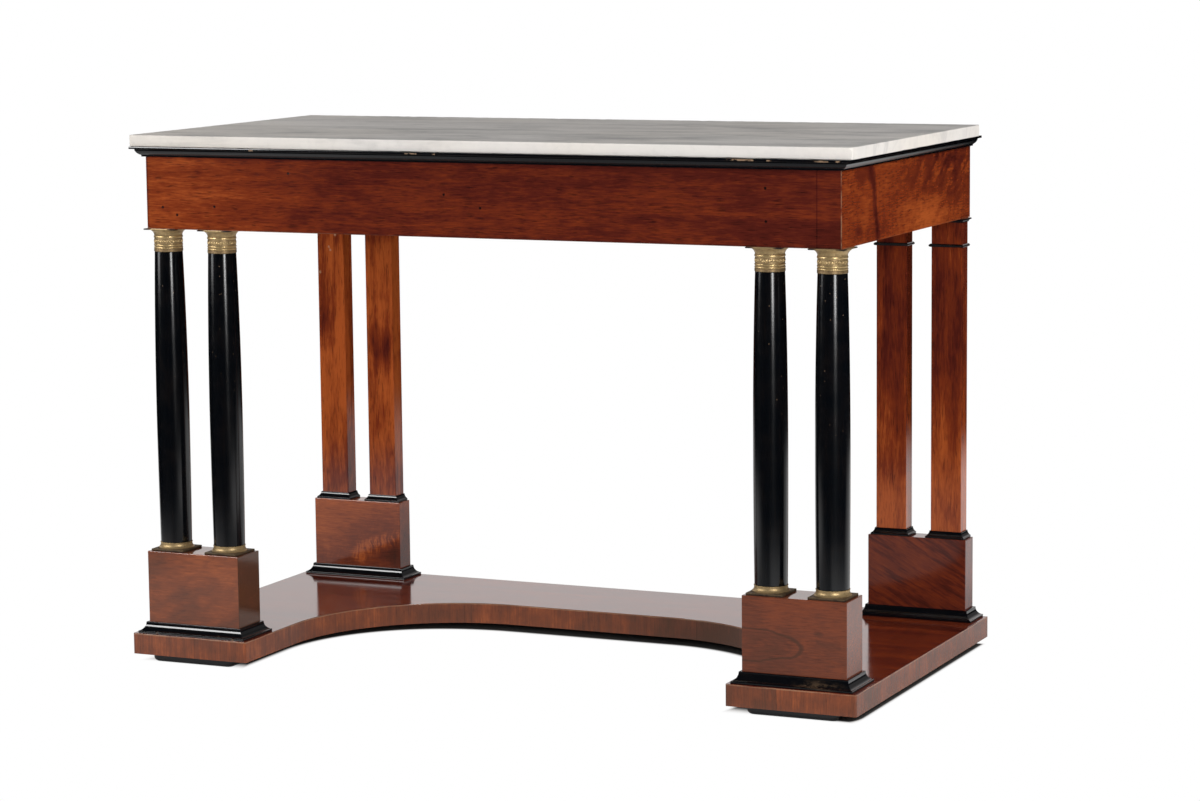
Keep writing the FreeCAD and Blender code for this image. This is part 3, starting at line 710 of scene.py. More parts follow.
class MakeCornice(PierTableOperator, bpy.types.Operator):
    """Model the three mitred lengths of ebonised cornice"""

    bl_idname = "pier_table.make_cornice"
    bl_label = "Cornice"

    NAMES = ("right", "front", "left")
    TEARS = (  # the ends along X and the width of each line of bare wood
        (0.433, 0.473, 0.0028),
        (0.573, 0.594, 0.0026),
        (0.609, 0.612, 0.0030),
        (-0.118, -0.099, 0.0018),
        (-0.069, -0.066, 0.0018),
        (0.497, 0.503, 0.0018),
        (-0.402, -0.396, 0.0016),
    )
    TEARS_ABOVE = 14.2 * MM  # over the frieze's top

    def execute(self, context):
        front_low, front_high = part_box("cornice_front")
        side_low, side_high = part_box("cornice_right")
        height = front_high.z - front_low.z
        depth = front_high.y - front_low.y
        reach = front_high.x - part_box("frieze_veneer_front")[1].x
        section = self.section(depth, depth - reach, height)
        side = side_low.x
        corners = [(side, side_high.y), (side, front_high.y), (-side, front_high.y), (-side, side_high.y)]
        points = [Vector((x, y, front_low.z)) for x, y in corners]
        material = ebonised("ebonised_cornice", seed=3, wear=self.chipped)
        for name, start, end in zip(self.NAMES, points, points[1:]):
            strip = moulded_length(section, start, end, name != self.NAMES[0], name != self.NAMES[-1])
            finish(f"cornice_{name}_dressed", strip, material, "ebonised_wood", f"cornice_{name}", smooth=35)
        return {"FINISHED"}

    @staticmethod
    def section(depth, face, height):
        """A fillet, a cove, a flat band, and a square fillet above a quirk."""
        reach = depth - face
        low = (face + 0.30 * reach, 0.18 * height)
        high = (face + 0.65 * reach, 0.62 * height)
        outline = [(0, 0), (face + 0.25 * reach, 0), (face + 0.25 * reach, 0.16 * height), low]
        outline += curve(low, high, -0.05 * reach)
        outline += [(face + 0.66 * reach, 0.74 * height), (face + reach, 0.78 * height)]
        outline += [(depth, height), (0, height)]
        return softened(outline, sizes().moulding_arris)

    @staticmethod
    def chipped(shader):
        """Bare wood in broken lines along the cornice's upper edge, most of it near the right end."""
        place = shader.place()
        front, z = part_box("cornice_front")[0].y, FRIEZE_TOP + MakeCornice.TEARS_ABOVE
        tear = shader.noise(place, (130, 130, 260), detail=4, roughness=0.7)
        bare = 0.0
        for start, end, width in MakeCornice.TEARS:
            bare = shader.stroke(place, (start, front, z), (end, front, z), width) + bare
        return bare * tear.rise(0.44, 0.54) * 1.4


class MakeFrieze(PierTableOperator, bpy.types.Operator):
    """Model the frieze's three sheets of veneer"""

    bl_idname = "pier_table.make_frieze"
    bl_label = "Frieze"

    HOLES = (  # worm holes' places along X and Z
        (-0.579, 0.761),
        (-0.342, 0.821),
        (-0.552, 0.749),
        (-0.481, 0.764),
        (-0.061, 0.793),
        (0.003, 0.773),
        (0.486, 0.815),
        (0.487, 0.764),
    )
    JOINT = 0.5695  # where a strip of veneer is let in at the right end

    def execute(self, context):
        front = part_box("frieze_veneer_front")[0].y
        holes = [(x, front, z) for x, z in self.HOLES]
        finishes = {  # grain, seed, tone, figure, wear, how cloudy, streaky, flecked and faded, and worm holes
            "front": ("X", 1.0, 0.50, self.front_light_and_figure, self.rubbed, 0.20, 0.40, 0.55, 0.0, holes),
            "right": ("Y", 2.0, 0.69, self.side_figure, self.rubbed, 0.25, 0.30, 0.20),
            "left": ("Y", 3.4, 0.62, None, None, 0.4),
        }
        for side, wood in finishes.items():
            node = f"frieze_veneer_{side}"
            sheet = box(*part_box(node))
            if side == "front":
                upright = edges_along(sheet, 2)
                ease(sheet, [e for e in edges_at(sheet, 1, front) if e in upright], sizes().wood_arris)
            wood = mahogany(f"mahogany_frieze_{side}", *wood)
            finish(f"frieze_{side}_dressed", sheet, wood, "mahogany", node)
        return {"FINISHED"}

    @staticmethod
    def front_light_and_figure(shader):
        """Painted light, lighter towards the left end and darker to the right, a fine joint near the right end, and
        painted shade and grime at the edges.
        """
        x, _, z = shader.split(shader.place())
        joint = abs(x - MakeFrieze.JOINT).rise(0.0016, 0.0004)
        # painted shade and dirt: darker along the top and bottom edges and at the left end
        edge_shade_and_grime = z.rise(FRIEZE_TOP - 0.007, FRIEZE_TOP) + z.rise(FRIEZE_BOTTOM + 0.004, FRIEZE_BOTTOM)
        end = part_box("frieze_veneer_front")[0].x
        edge_shade_and_grime = edge_shade_and_grime + x.rise(end + 0.006, end + 0.001) * 1.5
        # painted light: lighter towards the left end and a little darker towards the right
        return x.rise(-0.22, -0.62) * 0.23 - x.rise(0.15, 0.50) * 0.04 - joint * 0.12 - edge_shade_and_grime * 0.10

    @staticmethod
    def rubbed(shader):
        """Pale wood along the upright corner at the right end, and here and there along the lower edge."""
        low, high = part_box("frieze_veneer_front")
        place = shader.place()
        x, _, z = shader.split(place)
        corner = shader.stroke(place, (high.x, low.y, low.z), (high.x, low.y, high.z), 0.0022)
        foot = z.rise(low.z + 0.0018, low.z + 0.0008) * (x.rise(-0.20, -0.45) * 0.6 + 0.2)
        return (corner + foot) * shader.noise(place, scale=60, detail=4, roughness=0.7).rise(0.30, 0.60) * 0.45

    @staticmethod
    def side_figure(shader):
        """A dark upright stain near the front, and slanting flames behind, dark above and bright below."""
        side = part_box("frieze_veneer_right")[1].x
        place = shader.warp(shader.place(), 9, 0.016)
        slant = shader.warp(shader.place(turn=(math.radians(-32), 0, 0)), 14, 0.010)
        flames = shader.noise(slant, (20, 11, 46), detail=4, roughness=0.6).rise(0.40, 0.62)
        above = shader.spot(place, (side, 0.190, 0.825), (0.5, 0.26, 0.095))
        below = shader.spot(place, (side, 0.090, 0.745), (0.5, 0.22, 0.045))
        dark = shader.stroke(place, (side, -0.172, 0.850), (side, -0.135, 0.725), 0.020) * 0.28
        for y, z, wide, tall in ((-0.205, 0.840, 0.050, 0.024), (-0.224, 0.754, 0.030, 0.022)):
            dark = dark + shader.spot(place, (side, y, z), (0.2, wide, tall)) * 0.18
        ripples = shader.noise(place, (1, 90, 10), detail=3, roughness=0.6)
        return below * (flames * 0.12 + 0.12) - above * flames * 0.30 - dark + (ripples - 0.5) * 0.16 - 0.03


class MakeColumns(PierTableOperator, bpy.types.Operator):
    """Turn the four ebonised shafts with their swelling"""

    bl_idname = "pier_table.make_columns"
    bl_label = "Column shafts"

    BELLY_AT = 0.28  # as a share of the shaft's height
    SHOULDER_AT = 0.70
    NECK_SHARE = 0.80  # the hidden necks' radius, as a share of the foot's
    ROWS = 48

    def execute(self, context):
        low, high = level("column_base_left_outer", top=True), level("capital_left_outer", top=False)
        neck = sizes().column_foot * self.NECK_SHARE
        shaft = [(self.radius(n / self.ROWS), low + (high - low) * n / self.ROWS) for n in range(self.ROWS + 1)]
        below = [(0, BLOCK_TOP), (neck, BLOCK_TOP), (neck, low)]
        above = [(neck, high), (neck, FRIEZE_BOTTOM), (0, FRIEZE_BOTTOM)]
        profile = softened(below + shaft + above, sizes().wood_arris)
        for n, column in enumerate(COLUMNS):
            middle = sum(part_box(f"column_{column}"), Vector()) / 2
            material = ebonised(f"ebonised_column_{column}", n + 1.0, self.scuffs_and_glints, "Z", 0.20)
            piece = turned(profile, middle.x, middle.y)
            finish(f"column_shaft_{column}", piece, material, "ebonised_wood", f"column_{column}", smooth=40)
        return {"FINISHED"}

    def radius(self, share):
        """The shaft's radius at a share of its height: a cubic through its four turned gauges."""
        gauges = (
            (0.0, sizes().column_foot),
            (self.BELLY_AT, sizes().column_belly),
            (self.SHOULDER_AT, sizes().column_shoulder),
            (1.0, sizes().column_top),
        )
        total = 0.0
        for at, radius in gauges:
            others = [other for other, _ in gauges if other != at]
            total += radius * math.prod((share - other) / (at - other) for other in others)
        return total

    @staticmethod
    def scuffs_and_glints(shader):
        """Rubbed specks towards the shaft's head, also painted highlights of small dents, and fine scratches all the
        way up.
        """
        place = shader.place()
        z = shader.split(place)[2]
        # pale specks: rubbed wood and painted highlights of small dents
        spots = shader.specks(place, 120, 0.0011, 0.22) * z.rise(0.35, 0.66)
        scratch = shader.noise(place, (900, 900, 60), detail=2).rise(0.74, 0.80)
        return spots * 0.6 + scratch * 0.10


class BrassOperator(PierTableOperator):
    """What the capitals and the bases have in common: a turned part and a square plate round each column."""

    BORE = 21.2 * MM  # their radius inside, round the column's neck

    def make(self, kind, material):
        for column in COLUMNS:
            node = f"{kind}_{column}"
            low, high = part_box(node)
            middle = (low + high) / 2
            bm = self.round_part(low.z, high.z)
            bmesh.ops.translate(bm, vec=(middle.x, middle.y, 0), verts=bm.verts)
            absorb(bm, self.plate(low, high))
            mesh = finish(f"brass_{node}", bm, material, "gilt_brass", node, smooth=35).data
            hollow = mesh.attributes.new("hollow", "FLOAT", "POINT")
            for vert, value in zip(mesh.vertices, hollow.data):
                radius = math.hypot(vert.co.x - middle.x, vert.co.y - middle.y)
                value.value = self.tarnish(radius, vert.co.z, low.z, high.z)
        return {"FINISHED"}


class MakeCapitals(BrassOperator, bpy.types.Operator):
    """Model the stamped brass capitals: necking, beads, a band of rosettes, bell and abacus"""

    bl_idname = "pier_table.make_capitals"
    bl_label = "Brass capitals"

    ABACUS = 2.0 * MM
    ABACUS_CUTS = 7
    ABACUS_END = 36 * MM  # how far from the middle its corners start to blacken
    BELL = 9.8 * MM
    BELL_REACH = 5.9 * MM
    BELL_SAG = 1.1 * MM
    BELL_LIP = 0.8 * MM
    COLLAR = 4.6 * MM
    BAND = 23.1 * MM
    NECKING = 4.8 * MM
    BEAD = 3.6 * MM
    BEAD_GAP = 0.6 * MM
    PROUD = 0.95 * MM
    GROUND = 0.70  # how tarnished the band's ground is
    HOOP = 0.38 * MM
    ROSETTE = (2.7 * MM, 3.3 * MM)  # half its width and half its height
    KNOB = (1.15 * MM, (1, 1.2, 0.8))  # its radius and its stretch
    PETALS = (1.9 * MM, (1, 1.25, 0.3))
    DART = (0.6 * MM, (1, 4.6, 1.0))

    def execute(self, context):
        return self.make("capital", gilt_brass("gilt_brass_capital"))

    def tarnish(self, radius, z, bottom, top):
        """Black on the abacus's corners, brown on the bell and necking, and clean on what stands proud between."""
        if z > top - self.ABACUS - 0.2 * MM:
            return 0.5 if radius < self.ABACUS_END else 1.9
        if z > top - self.ABACUS - self.BELL + 0.5 * MM:
            return 0.45
        if z < bottom + self.NECKING - 0.3 * MM:
            return 0.85
        return min(self.GROUND, max(0.0, (self.BAND + self.PROUD * 0.7 - radius) / self.PROUD))

    def round_part(self, bottom, top):
        """The turned sleeve with its rosettes, half way up the plain band, about the origin's upright."""
        bell_top = top - self.ABACUS
        bell = bell_top - self.BELL
        bm = self.sleeve(bottom, bell, bell_top)
        absorb(bm, self.ornaments((bottom + self.NECKING + 2 * self.BEAD + bell - self.COLLAR) / 2))
        return bm

    def sleeve(self, bottom, bell, bell_top):
        """The turned part, from the necking to the bell."""
        band, necking = self.BAND, bottom + self.NECKING
        outline = [(band + 0.4 * MM, bottom), (band + 0.9 * MM, bottom + 0.6 * MM)]
        outline += [(band + 0.8 * MM, necking - 0.4 * MM)]
        second = necking + self.BEAD + self.BEAD_GAP
        for z, tall in ((necking, self.BEAD), (second, self.BEAD), (bell - self.COLLAR, self.COLLAR)):
            outline += [(band, z), *curve((band, z), (band, z + tall), -self.PROUD)]
        rim, lip = band + self.BELL_REACH, self.BELL_LIP
        turn = (rim - lip, bell_top - lip * 2)
        outline += [(band, bell), *curve((band, bell), turn, self.BELL_SAG)]
        outline += [*curve(turn, (rim, bell_top), -0.25 * lip, steps=4), (self.BORE, bell_top), (self.BORE, bottom)]
        return turned(outline, 0, 0, closed=True)

    def plate(self, low, high):
        """The thin square abacus on top."""
        plate = box(Vector((low.x, low.y, high.z - self.ABACUS)), high)
        level_edges = [e for e in plate.edges if abs(e.verts[0].co.z - e.verts[1].co.z) < NEAR]
        bmesh.ops.subdivide_edges(plate, edges=level_edges, cuts=self.ABACUS_CUTS, use_grid_fill=True)
        ease(plate, sharp_edges(plate), sizes().brass_arris, segments=2)
        return plate

    def ornaments(self, z):
        """A ring of rosettes, with a dart between each two: the first pair is copied round the band."""
        bm = bmesh.new()
        wide, tall = self.ROSETTE
        count = sizes().rosettes
        hoop = bmesh.ops.create_circle(bm, segments=5, radius=self.HOOP)["verts"]
        bmesh.ops.rotate(bm, verts=hoop, cent=(0, 0, 0), matrix=Matrix.Rotation(math.radians(90), 3, "X"))
        bmesh.ops.translate(bm, verts=hoop, vec=(wide, 0, 0))
        bmesh.ops.spin(bm, geom=[*bm.verts, *bm.edges], axis=UP, angle=math.tau, steps=14, use_merge=True)
        bmesh.ops.scale(bm, vec=(1, tall / wide, 1), verts=bm.verts)
        between = self.BAND * math.pi / count
        for x, (radius, stretch) in ((0, self.KNOB), (0, self.PETALS), (between, self.DART)):
            place = Matrix.Translation((x, 0, 0)) @ Matrix.Diagonal((*stretch, 1))
            bmesh.ops.create_uvsphere(bm, u_segments=8, v_segments=5, radius=radius, matrix=place)
        stance = Matrix.Translation((0, -self.BAND, z)) @ Matrix.Rotation(math.radians(90), 4, "X")
        bmesh.ops.transform(bm, matrix=stance, verts=bm.verts)
        angle = math.tau * (count - 1) / count
        bmesh.ops.spin(bm, geom=everything(bm), axis=UP, angle=angle, steps=count - 1, use_duplicate=True)
        bmesh.ops.recalc_face_normals(bm, faces=bm.faces)
        return bm


class MakeColumnBases(BrassOperator, bpy.types.Operator):
    """Model the brass bases: a square plate, a hollow flare and a thin ring"""

    bl_idname = "pier_table.make_column_bases"
    bl_label = "Brass column bases"

    PLATE = 3.5 * MM
    LIP = 0.8 * MM
    FLARE = 30.3 * MM
    RING = 1.4 * MM
    RING_RADIUS = 27.0 * MM

    def execute(self, context):
        return self.make("column_base", gilt_brass("gilt_brass_base", dulled=0.36))

    def tarnish(self, radius, z, bottom, _):
        """Dark on the plate's sides, brown on its top and in the flare's foot."""
        if z < bottom + self.PLATE - 0.4 * MM:
            return 1.4
        if z < bottom + self.PLATE + 0.3 * MM:
            return 1.0
        return 0.8 if radius > self.FLARE - 1 * MM else 0.1

    def round_part(self, bottom, top):
        """The flare and the ring, about the origin's upright."""
        plate_top, ring_low = bottom + self.PLATE, top - self.RING
        lip, rim = plate_top + self.LIP, self.RING_RADIUS - self.RING / 3
        outline = [(self.BORE, plate_top), (self.FLARE, plate_top), (self.FLARE, lip)]
        outline += curve((self.FLARE, lip), (rim, ring_low), 0.18 * (ring_low - lip))
        outline += curve((rim, ring_low), (rim, top), self.RING / -3, steps=6)
        outline.append((self.BORE, top))
        return turned(outline, 0, 0, closed=True)

    def plate(self, low, high):
        plate = box(low, Vector((high.x, high.y, low.z + self.PLATE)))
        ease(plate, plate.edges, sizes().brass_arris, segments=2)
        return plate


class MakePilasters(PierTableOperator, bpy.types.Operator):
    """Model the four pilasters with their base, ring and cap mouldings"""

    bl_idname = "pier_table.make_pilasters"
    bl_label = "Pilasters"

    FINISHES = {  # each one's seed and tone, and how cloudy, streaky and flecked it is; the left pair's higher tone is partly painted light
        "left_outer": (5.0, 0.72, 0.65, 1.05, 0.50),
        "left_inner": (6.7, 0.76, 0.65, 1.05, 0.50),
        "right_inner": (7.0, 0.53, 0.40, 0.75, 0.45),
        "right_outer": (8.0, 0.53, 0.40, 0.75, 0.45),
    }
    DARK_TOP = (0.638, 0.675)  # the heights between which the left ones darken
    KNOT = (0.462, (0.030, 0.1, 0.055))  # its height and size
    KNOT_ASIDE = 6 * MM  # how far to the right of the middle it lies
    TRIM_ARRIS = 0.3 * MM
    MARKS = ((-0.586, 0.644), (-0.584, 0.639), (-0.605, 0.598), (-0.573, 0.666))  # along X and Z

    def execute(self, context):
        black = ebonised("ebonised_pilaster_trim", seed=8, satin=0.05)
        figures = {"left_outer": self.banded, "left_inner": self.knotted}
        for name, (seed, tone, *reach) in self.FINISHES.items():
            node = f"pilaster_{name}"
            low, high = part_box(node)
            low.z, high.z = BLOCK_TOP, FRIEZE_BOTTOM
            shaft = box(low, high)
            ease(shaft, edges_along(shaft, 2), sizes().wood_arris)
            worn = self.rubbed if name == "left_outer" else None
            wood = mahogany(f"mahogany_{node}", "Z", seed, tone, figures.get(name, self.warmer_below), worn, *reach)
            finish(f"{node}_shaft", shaft, wood, "mahogany", node)
            corners = corner_points(low, high, 0.0)
            for part, section in (("base", self.base), ("ring", self.ring), ("cap", self.cap)):
                self.trim(part, name, section, corners[1:] + corners[:1], black)
        return {"FINISHED"}

    @staticmethod
    def warmer_below(shader):
        """Lighter towards the foot."""
        return shader.height().rise(0.55, 0.22) * 0.27

    @staticmethod
    def banded(shader):
        """A little lighter below the middle, with a dark foot and a dark top."""
        z = shader.height()
        return z.rise(0.54, 0.44) * 0.05 - z.rise(0.34, 0.22) * 0.16 - z.rise(*MakePilasters.DARK_TOP) * 0.12

    @staticmethod
    def knotted(shader):
        """Lighter above and below a dark knot, with a dark foot and a dark top."""
        low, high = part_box("pilaster_left_inner")
        height, size = MakePilasters.KNOT
        middle = ((low.x + high.x) / 2 + MakePilasters.KNOT_ASIDE, low.y, height)
        knot = shader.spot(shader.warp(shader.place(), 30, 0.010), middle, size)
        z = shader.height()
        above = z.rise(0.52, 0.62) * 0.16 - z.rise(*MakePilasters.DARK_TOP) * 0.20
        return above + z.rise(0.46, 0.38) * 0.05 - z.rise(0.32, 0.22) * 0.12 - knot * 0.30

    @staticmethod
    def rubbed(shader):
        """Four small pale marks high on the outer left pilaster."""
        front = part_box("pilaster_left_outer")[0].y
        place = shader.warp(shader.place(), 60, 0.002)
        marks = 0.0
        for x, z in MakePilasters.MARKS:
            marks = shader.spot(place, (x, front, z), (0.0035, 0.1, 0.0035)) + marks
        return marks * 0.8

    @staticmethod
    def trim(part, name, section, corners, material):
        """A mitred moulding on three sides of a pilaster."""
        node = f"pilaster_{part}_{name}"
        low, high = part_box(node)
        reach = (high.x - low.x) / 2 - (corners[0].x - corners[2].x) / 2
        points = [Vector((corner.x, corner.y, low.z)) for corner in corners]
        strip = moulding(softened(section(reach, high.z - low.z), MakePilasters.TRIM_ARRIS), points)
        finish(f"{node}_dressed", strip, material, "ebonised_wood", node, smooth=35)

    @staticmethod
    def base(reach, height):
        fillet, crown = (reach, 0.26 * height), (0.25 * reach, 0.93 * height)
        return [(0, 0), (reach, 0), fillet, *curve(fillet, crown, 0.17 * reach), (0.25 * reach, height), (0, height)]

    @staticmethod
    def ring(reach, height):
        return [(0, 0), *curve((0.45 * reach, 0), (0.45 * reach, height), -0.55 * reach), (0, height)]

    @staticmethod
    def cap(reach, height):
        low, high = (0.3 * reach, 0.2 * height), (reach, 0.62 * height)
        return [(0, 0), (0.3 * reach, 0), low, *curve(low, high, 0.12 * reach), (reach, height), (0, height)]


class MakeBlocks(PierTableOperator, bpy.types.Operator):
    """Model the four plinth blocks and the mouldings round their feet"""

    bl_idname = "pier_table.make_blocks"
    bl_label = "Plinth blocks"

    FINE = (0.16, 0.20)  # how streaky and flecked all four are
    NICKS = ((-0.481, 0.006), (-0.454, 0.001), (-0.598, 0.002))  # along X, and up from the platform

    def execute(self, context):
        finishes = {  # grain, seed, tone, figure, wear, and how cloudy, streaky, flecked and faded
            "front_left": ("X", 11.0, 0.69, self.clouds_and_shaded_side, None, 0.50, *self.FINE, 0.32),
            "front_right": ("X", 12.0, 0.49, self.tongue, None, 0.45, *self.FINE, 0.24),
            "rear_left": ("X", 13.0, 0.73, self.crotch, None, 0.25, *self.FINE, 0.12),
            "rear_right": ("X slanting", 14.0, 0.48, self.slanting, None, 0.25, *self.FINE, 0.04),
        }
        black = ebonised("ebonised_block_mouldings", 5, self.rubbed, satin=0.05)
        for corner, wood in finishes.items():
            node = f"plinth_block_{corner}"
            low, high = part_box(node)
            block = box(low, high)
            ease(block, block.edges, sizes().wood_arris)
            finish(f"{node}_dressed", block, mahogany(f"mahogany_{node}", *wood), "mahogany", node)
            self.add_moulding(corner, low, high, black)
        return {"FINISHED"}

    @staticmethod
    def add_moulding(corner, low, high, material):
        node = f"block_moulding_{corner}"
        outer_low, outer_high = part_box(node)
        reach, height = low.x - outer_low.x, outer_high.z - outer_low.z
        foot, lip, crown = 0.21 * height, 0.89 * reach, 0.28 * reach
        section = [(0, 0), (reach, 0), (reach, foot), (lip, foot)]
        section += curve((lip, foot), (crown, 0.93 * height), 0.16 * reach)
        section += [(crown, height), (0, height)]
        ring = moulding(softened(section, sizes().moulding_arris), corner_points(low, high, outer_low.z), closed=True)
        finish(f"{node}_dressed", ring, material, "ebonised_wood", node, smooth=35)

    @staticmethod
    def rubbed(shader):
        """Nicks on the front left moulding and brown rubbed wood on the front right one."""
        place = shader.place()
        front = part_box("block_moulding_front_left")[0].y
        worn = shader.spot(place, (0.578, front, PLATFORM_TOP + 0.008), (0.055, 0.02, 0.012)) * 0.30
        film = shader.noise(place, (60, 60, 200), detail=4, roughness=0.7).rise(0.42, 0.62)
        for x, up in MakeBlocks.NICKS:
            worn = worn + shader.spot(place, (x, front, PLATFORM_TOP + up), (0.005, 0.006, 0.003))
        return worn * film

    @staticmethod
    def clouds_and_shaded_side(shader):
        """Soft clouds that slope up to the right, and painted shade on the right end's face."""
        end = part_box("plinth_block_front_left")[1].x
        slant = shader.warp(shader.place(turn=(0, math.radians(24), 0)), 12, 0.010)
        clouds = shader.noise(slant, (8, 12, 24), detail=4, roughness=0.6).rise(0.42, 0.66)
        # painted shade: the right end's face, which looks into the recess, is darkened
        return shader.split(shader.place())[0].rise(end - 0.001, end - 0.0002) * -0.42 - clouds * 0.20

    @staticmethod
    def tongue(shader):
        """A dark loop that opens to the left, paler lines inside it, and a knot to its right."""
        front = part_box("plinth_block_front_right")[0].y
        place = shader.warp(shader.place(), 18, 0.005)
        x, _, z = shader.split(place)
        reach, rise = (x - 0.470).at_least(0.0) / 0.076, abs(z - 0.108) / 0.025
        loop = (reach * reach + rise * rise) ** 0.5
        dark = abs(loop - 1.0).rise(0.09, 0.0) * 0.30
        inner = abs(loop * 4.0 % 1.0 - 0.5).rise(0.2, 0.5) * loop.rise(1.0, 0.8) * 0.06
        knot = shader.spot(place, (0.577, front, 0.131), (0.009, 0.1, 0.007)) * 0.20
        streak = shader.stroke(place, (0.575, front, 0.119), (0.608, front, 0.114), 0.006) * 0.12
        return 0.0 - dark - inner - knot - streak

    @staticmethod
    def crotch(shader):
        """A bright flame on dark wood that gathers towards the lower right, pale in the upper left."""
        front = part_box("plinth_block_rear_left")[0].y
        place = shader.warp(shader.place(), 22, 0.009)
        x, _, z = shader.split(place)
        lower = ((x + 0.621) * 0.45 - (z - 0.185)).rise(0.05, 0.16)
        flame = shader.stroke(place, (-0.530, front, 0.086), (-0.456, front, 0.122), 0.026)
        ripples = shader.noise(place, (190, 1, 34), detail=3, roughness=0.6).rise(0.36, 0.64)
        dark = shader.spot(place, (-0.462, front, 0.090), (0.030, 0.1, 0.034))
        return flame * (ripples * 0.50 - 0.04) - lower * (0.20 + ripples * 0.08) - dark * 0.24 + 0.04

    @staticmethod
    def slanting(shader):
        """Fine dark streaks that slope down to the right, and a darker foot."""
        place = shader.place(turn=SLANT)
        z = shader.height()
        streak = shader.noise(place, (14, 130, 130), detail=4, roughness=0.65)
        return 0.07 - streak.rise(0.44, 0.74) * 0.22 - z.rise(0.14, 0.05) * 0.08


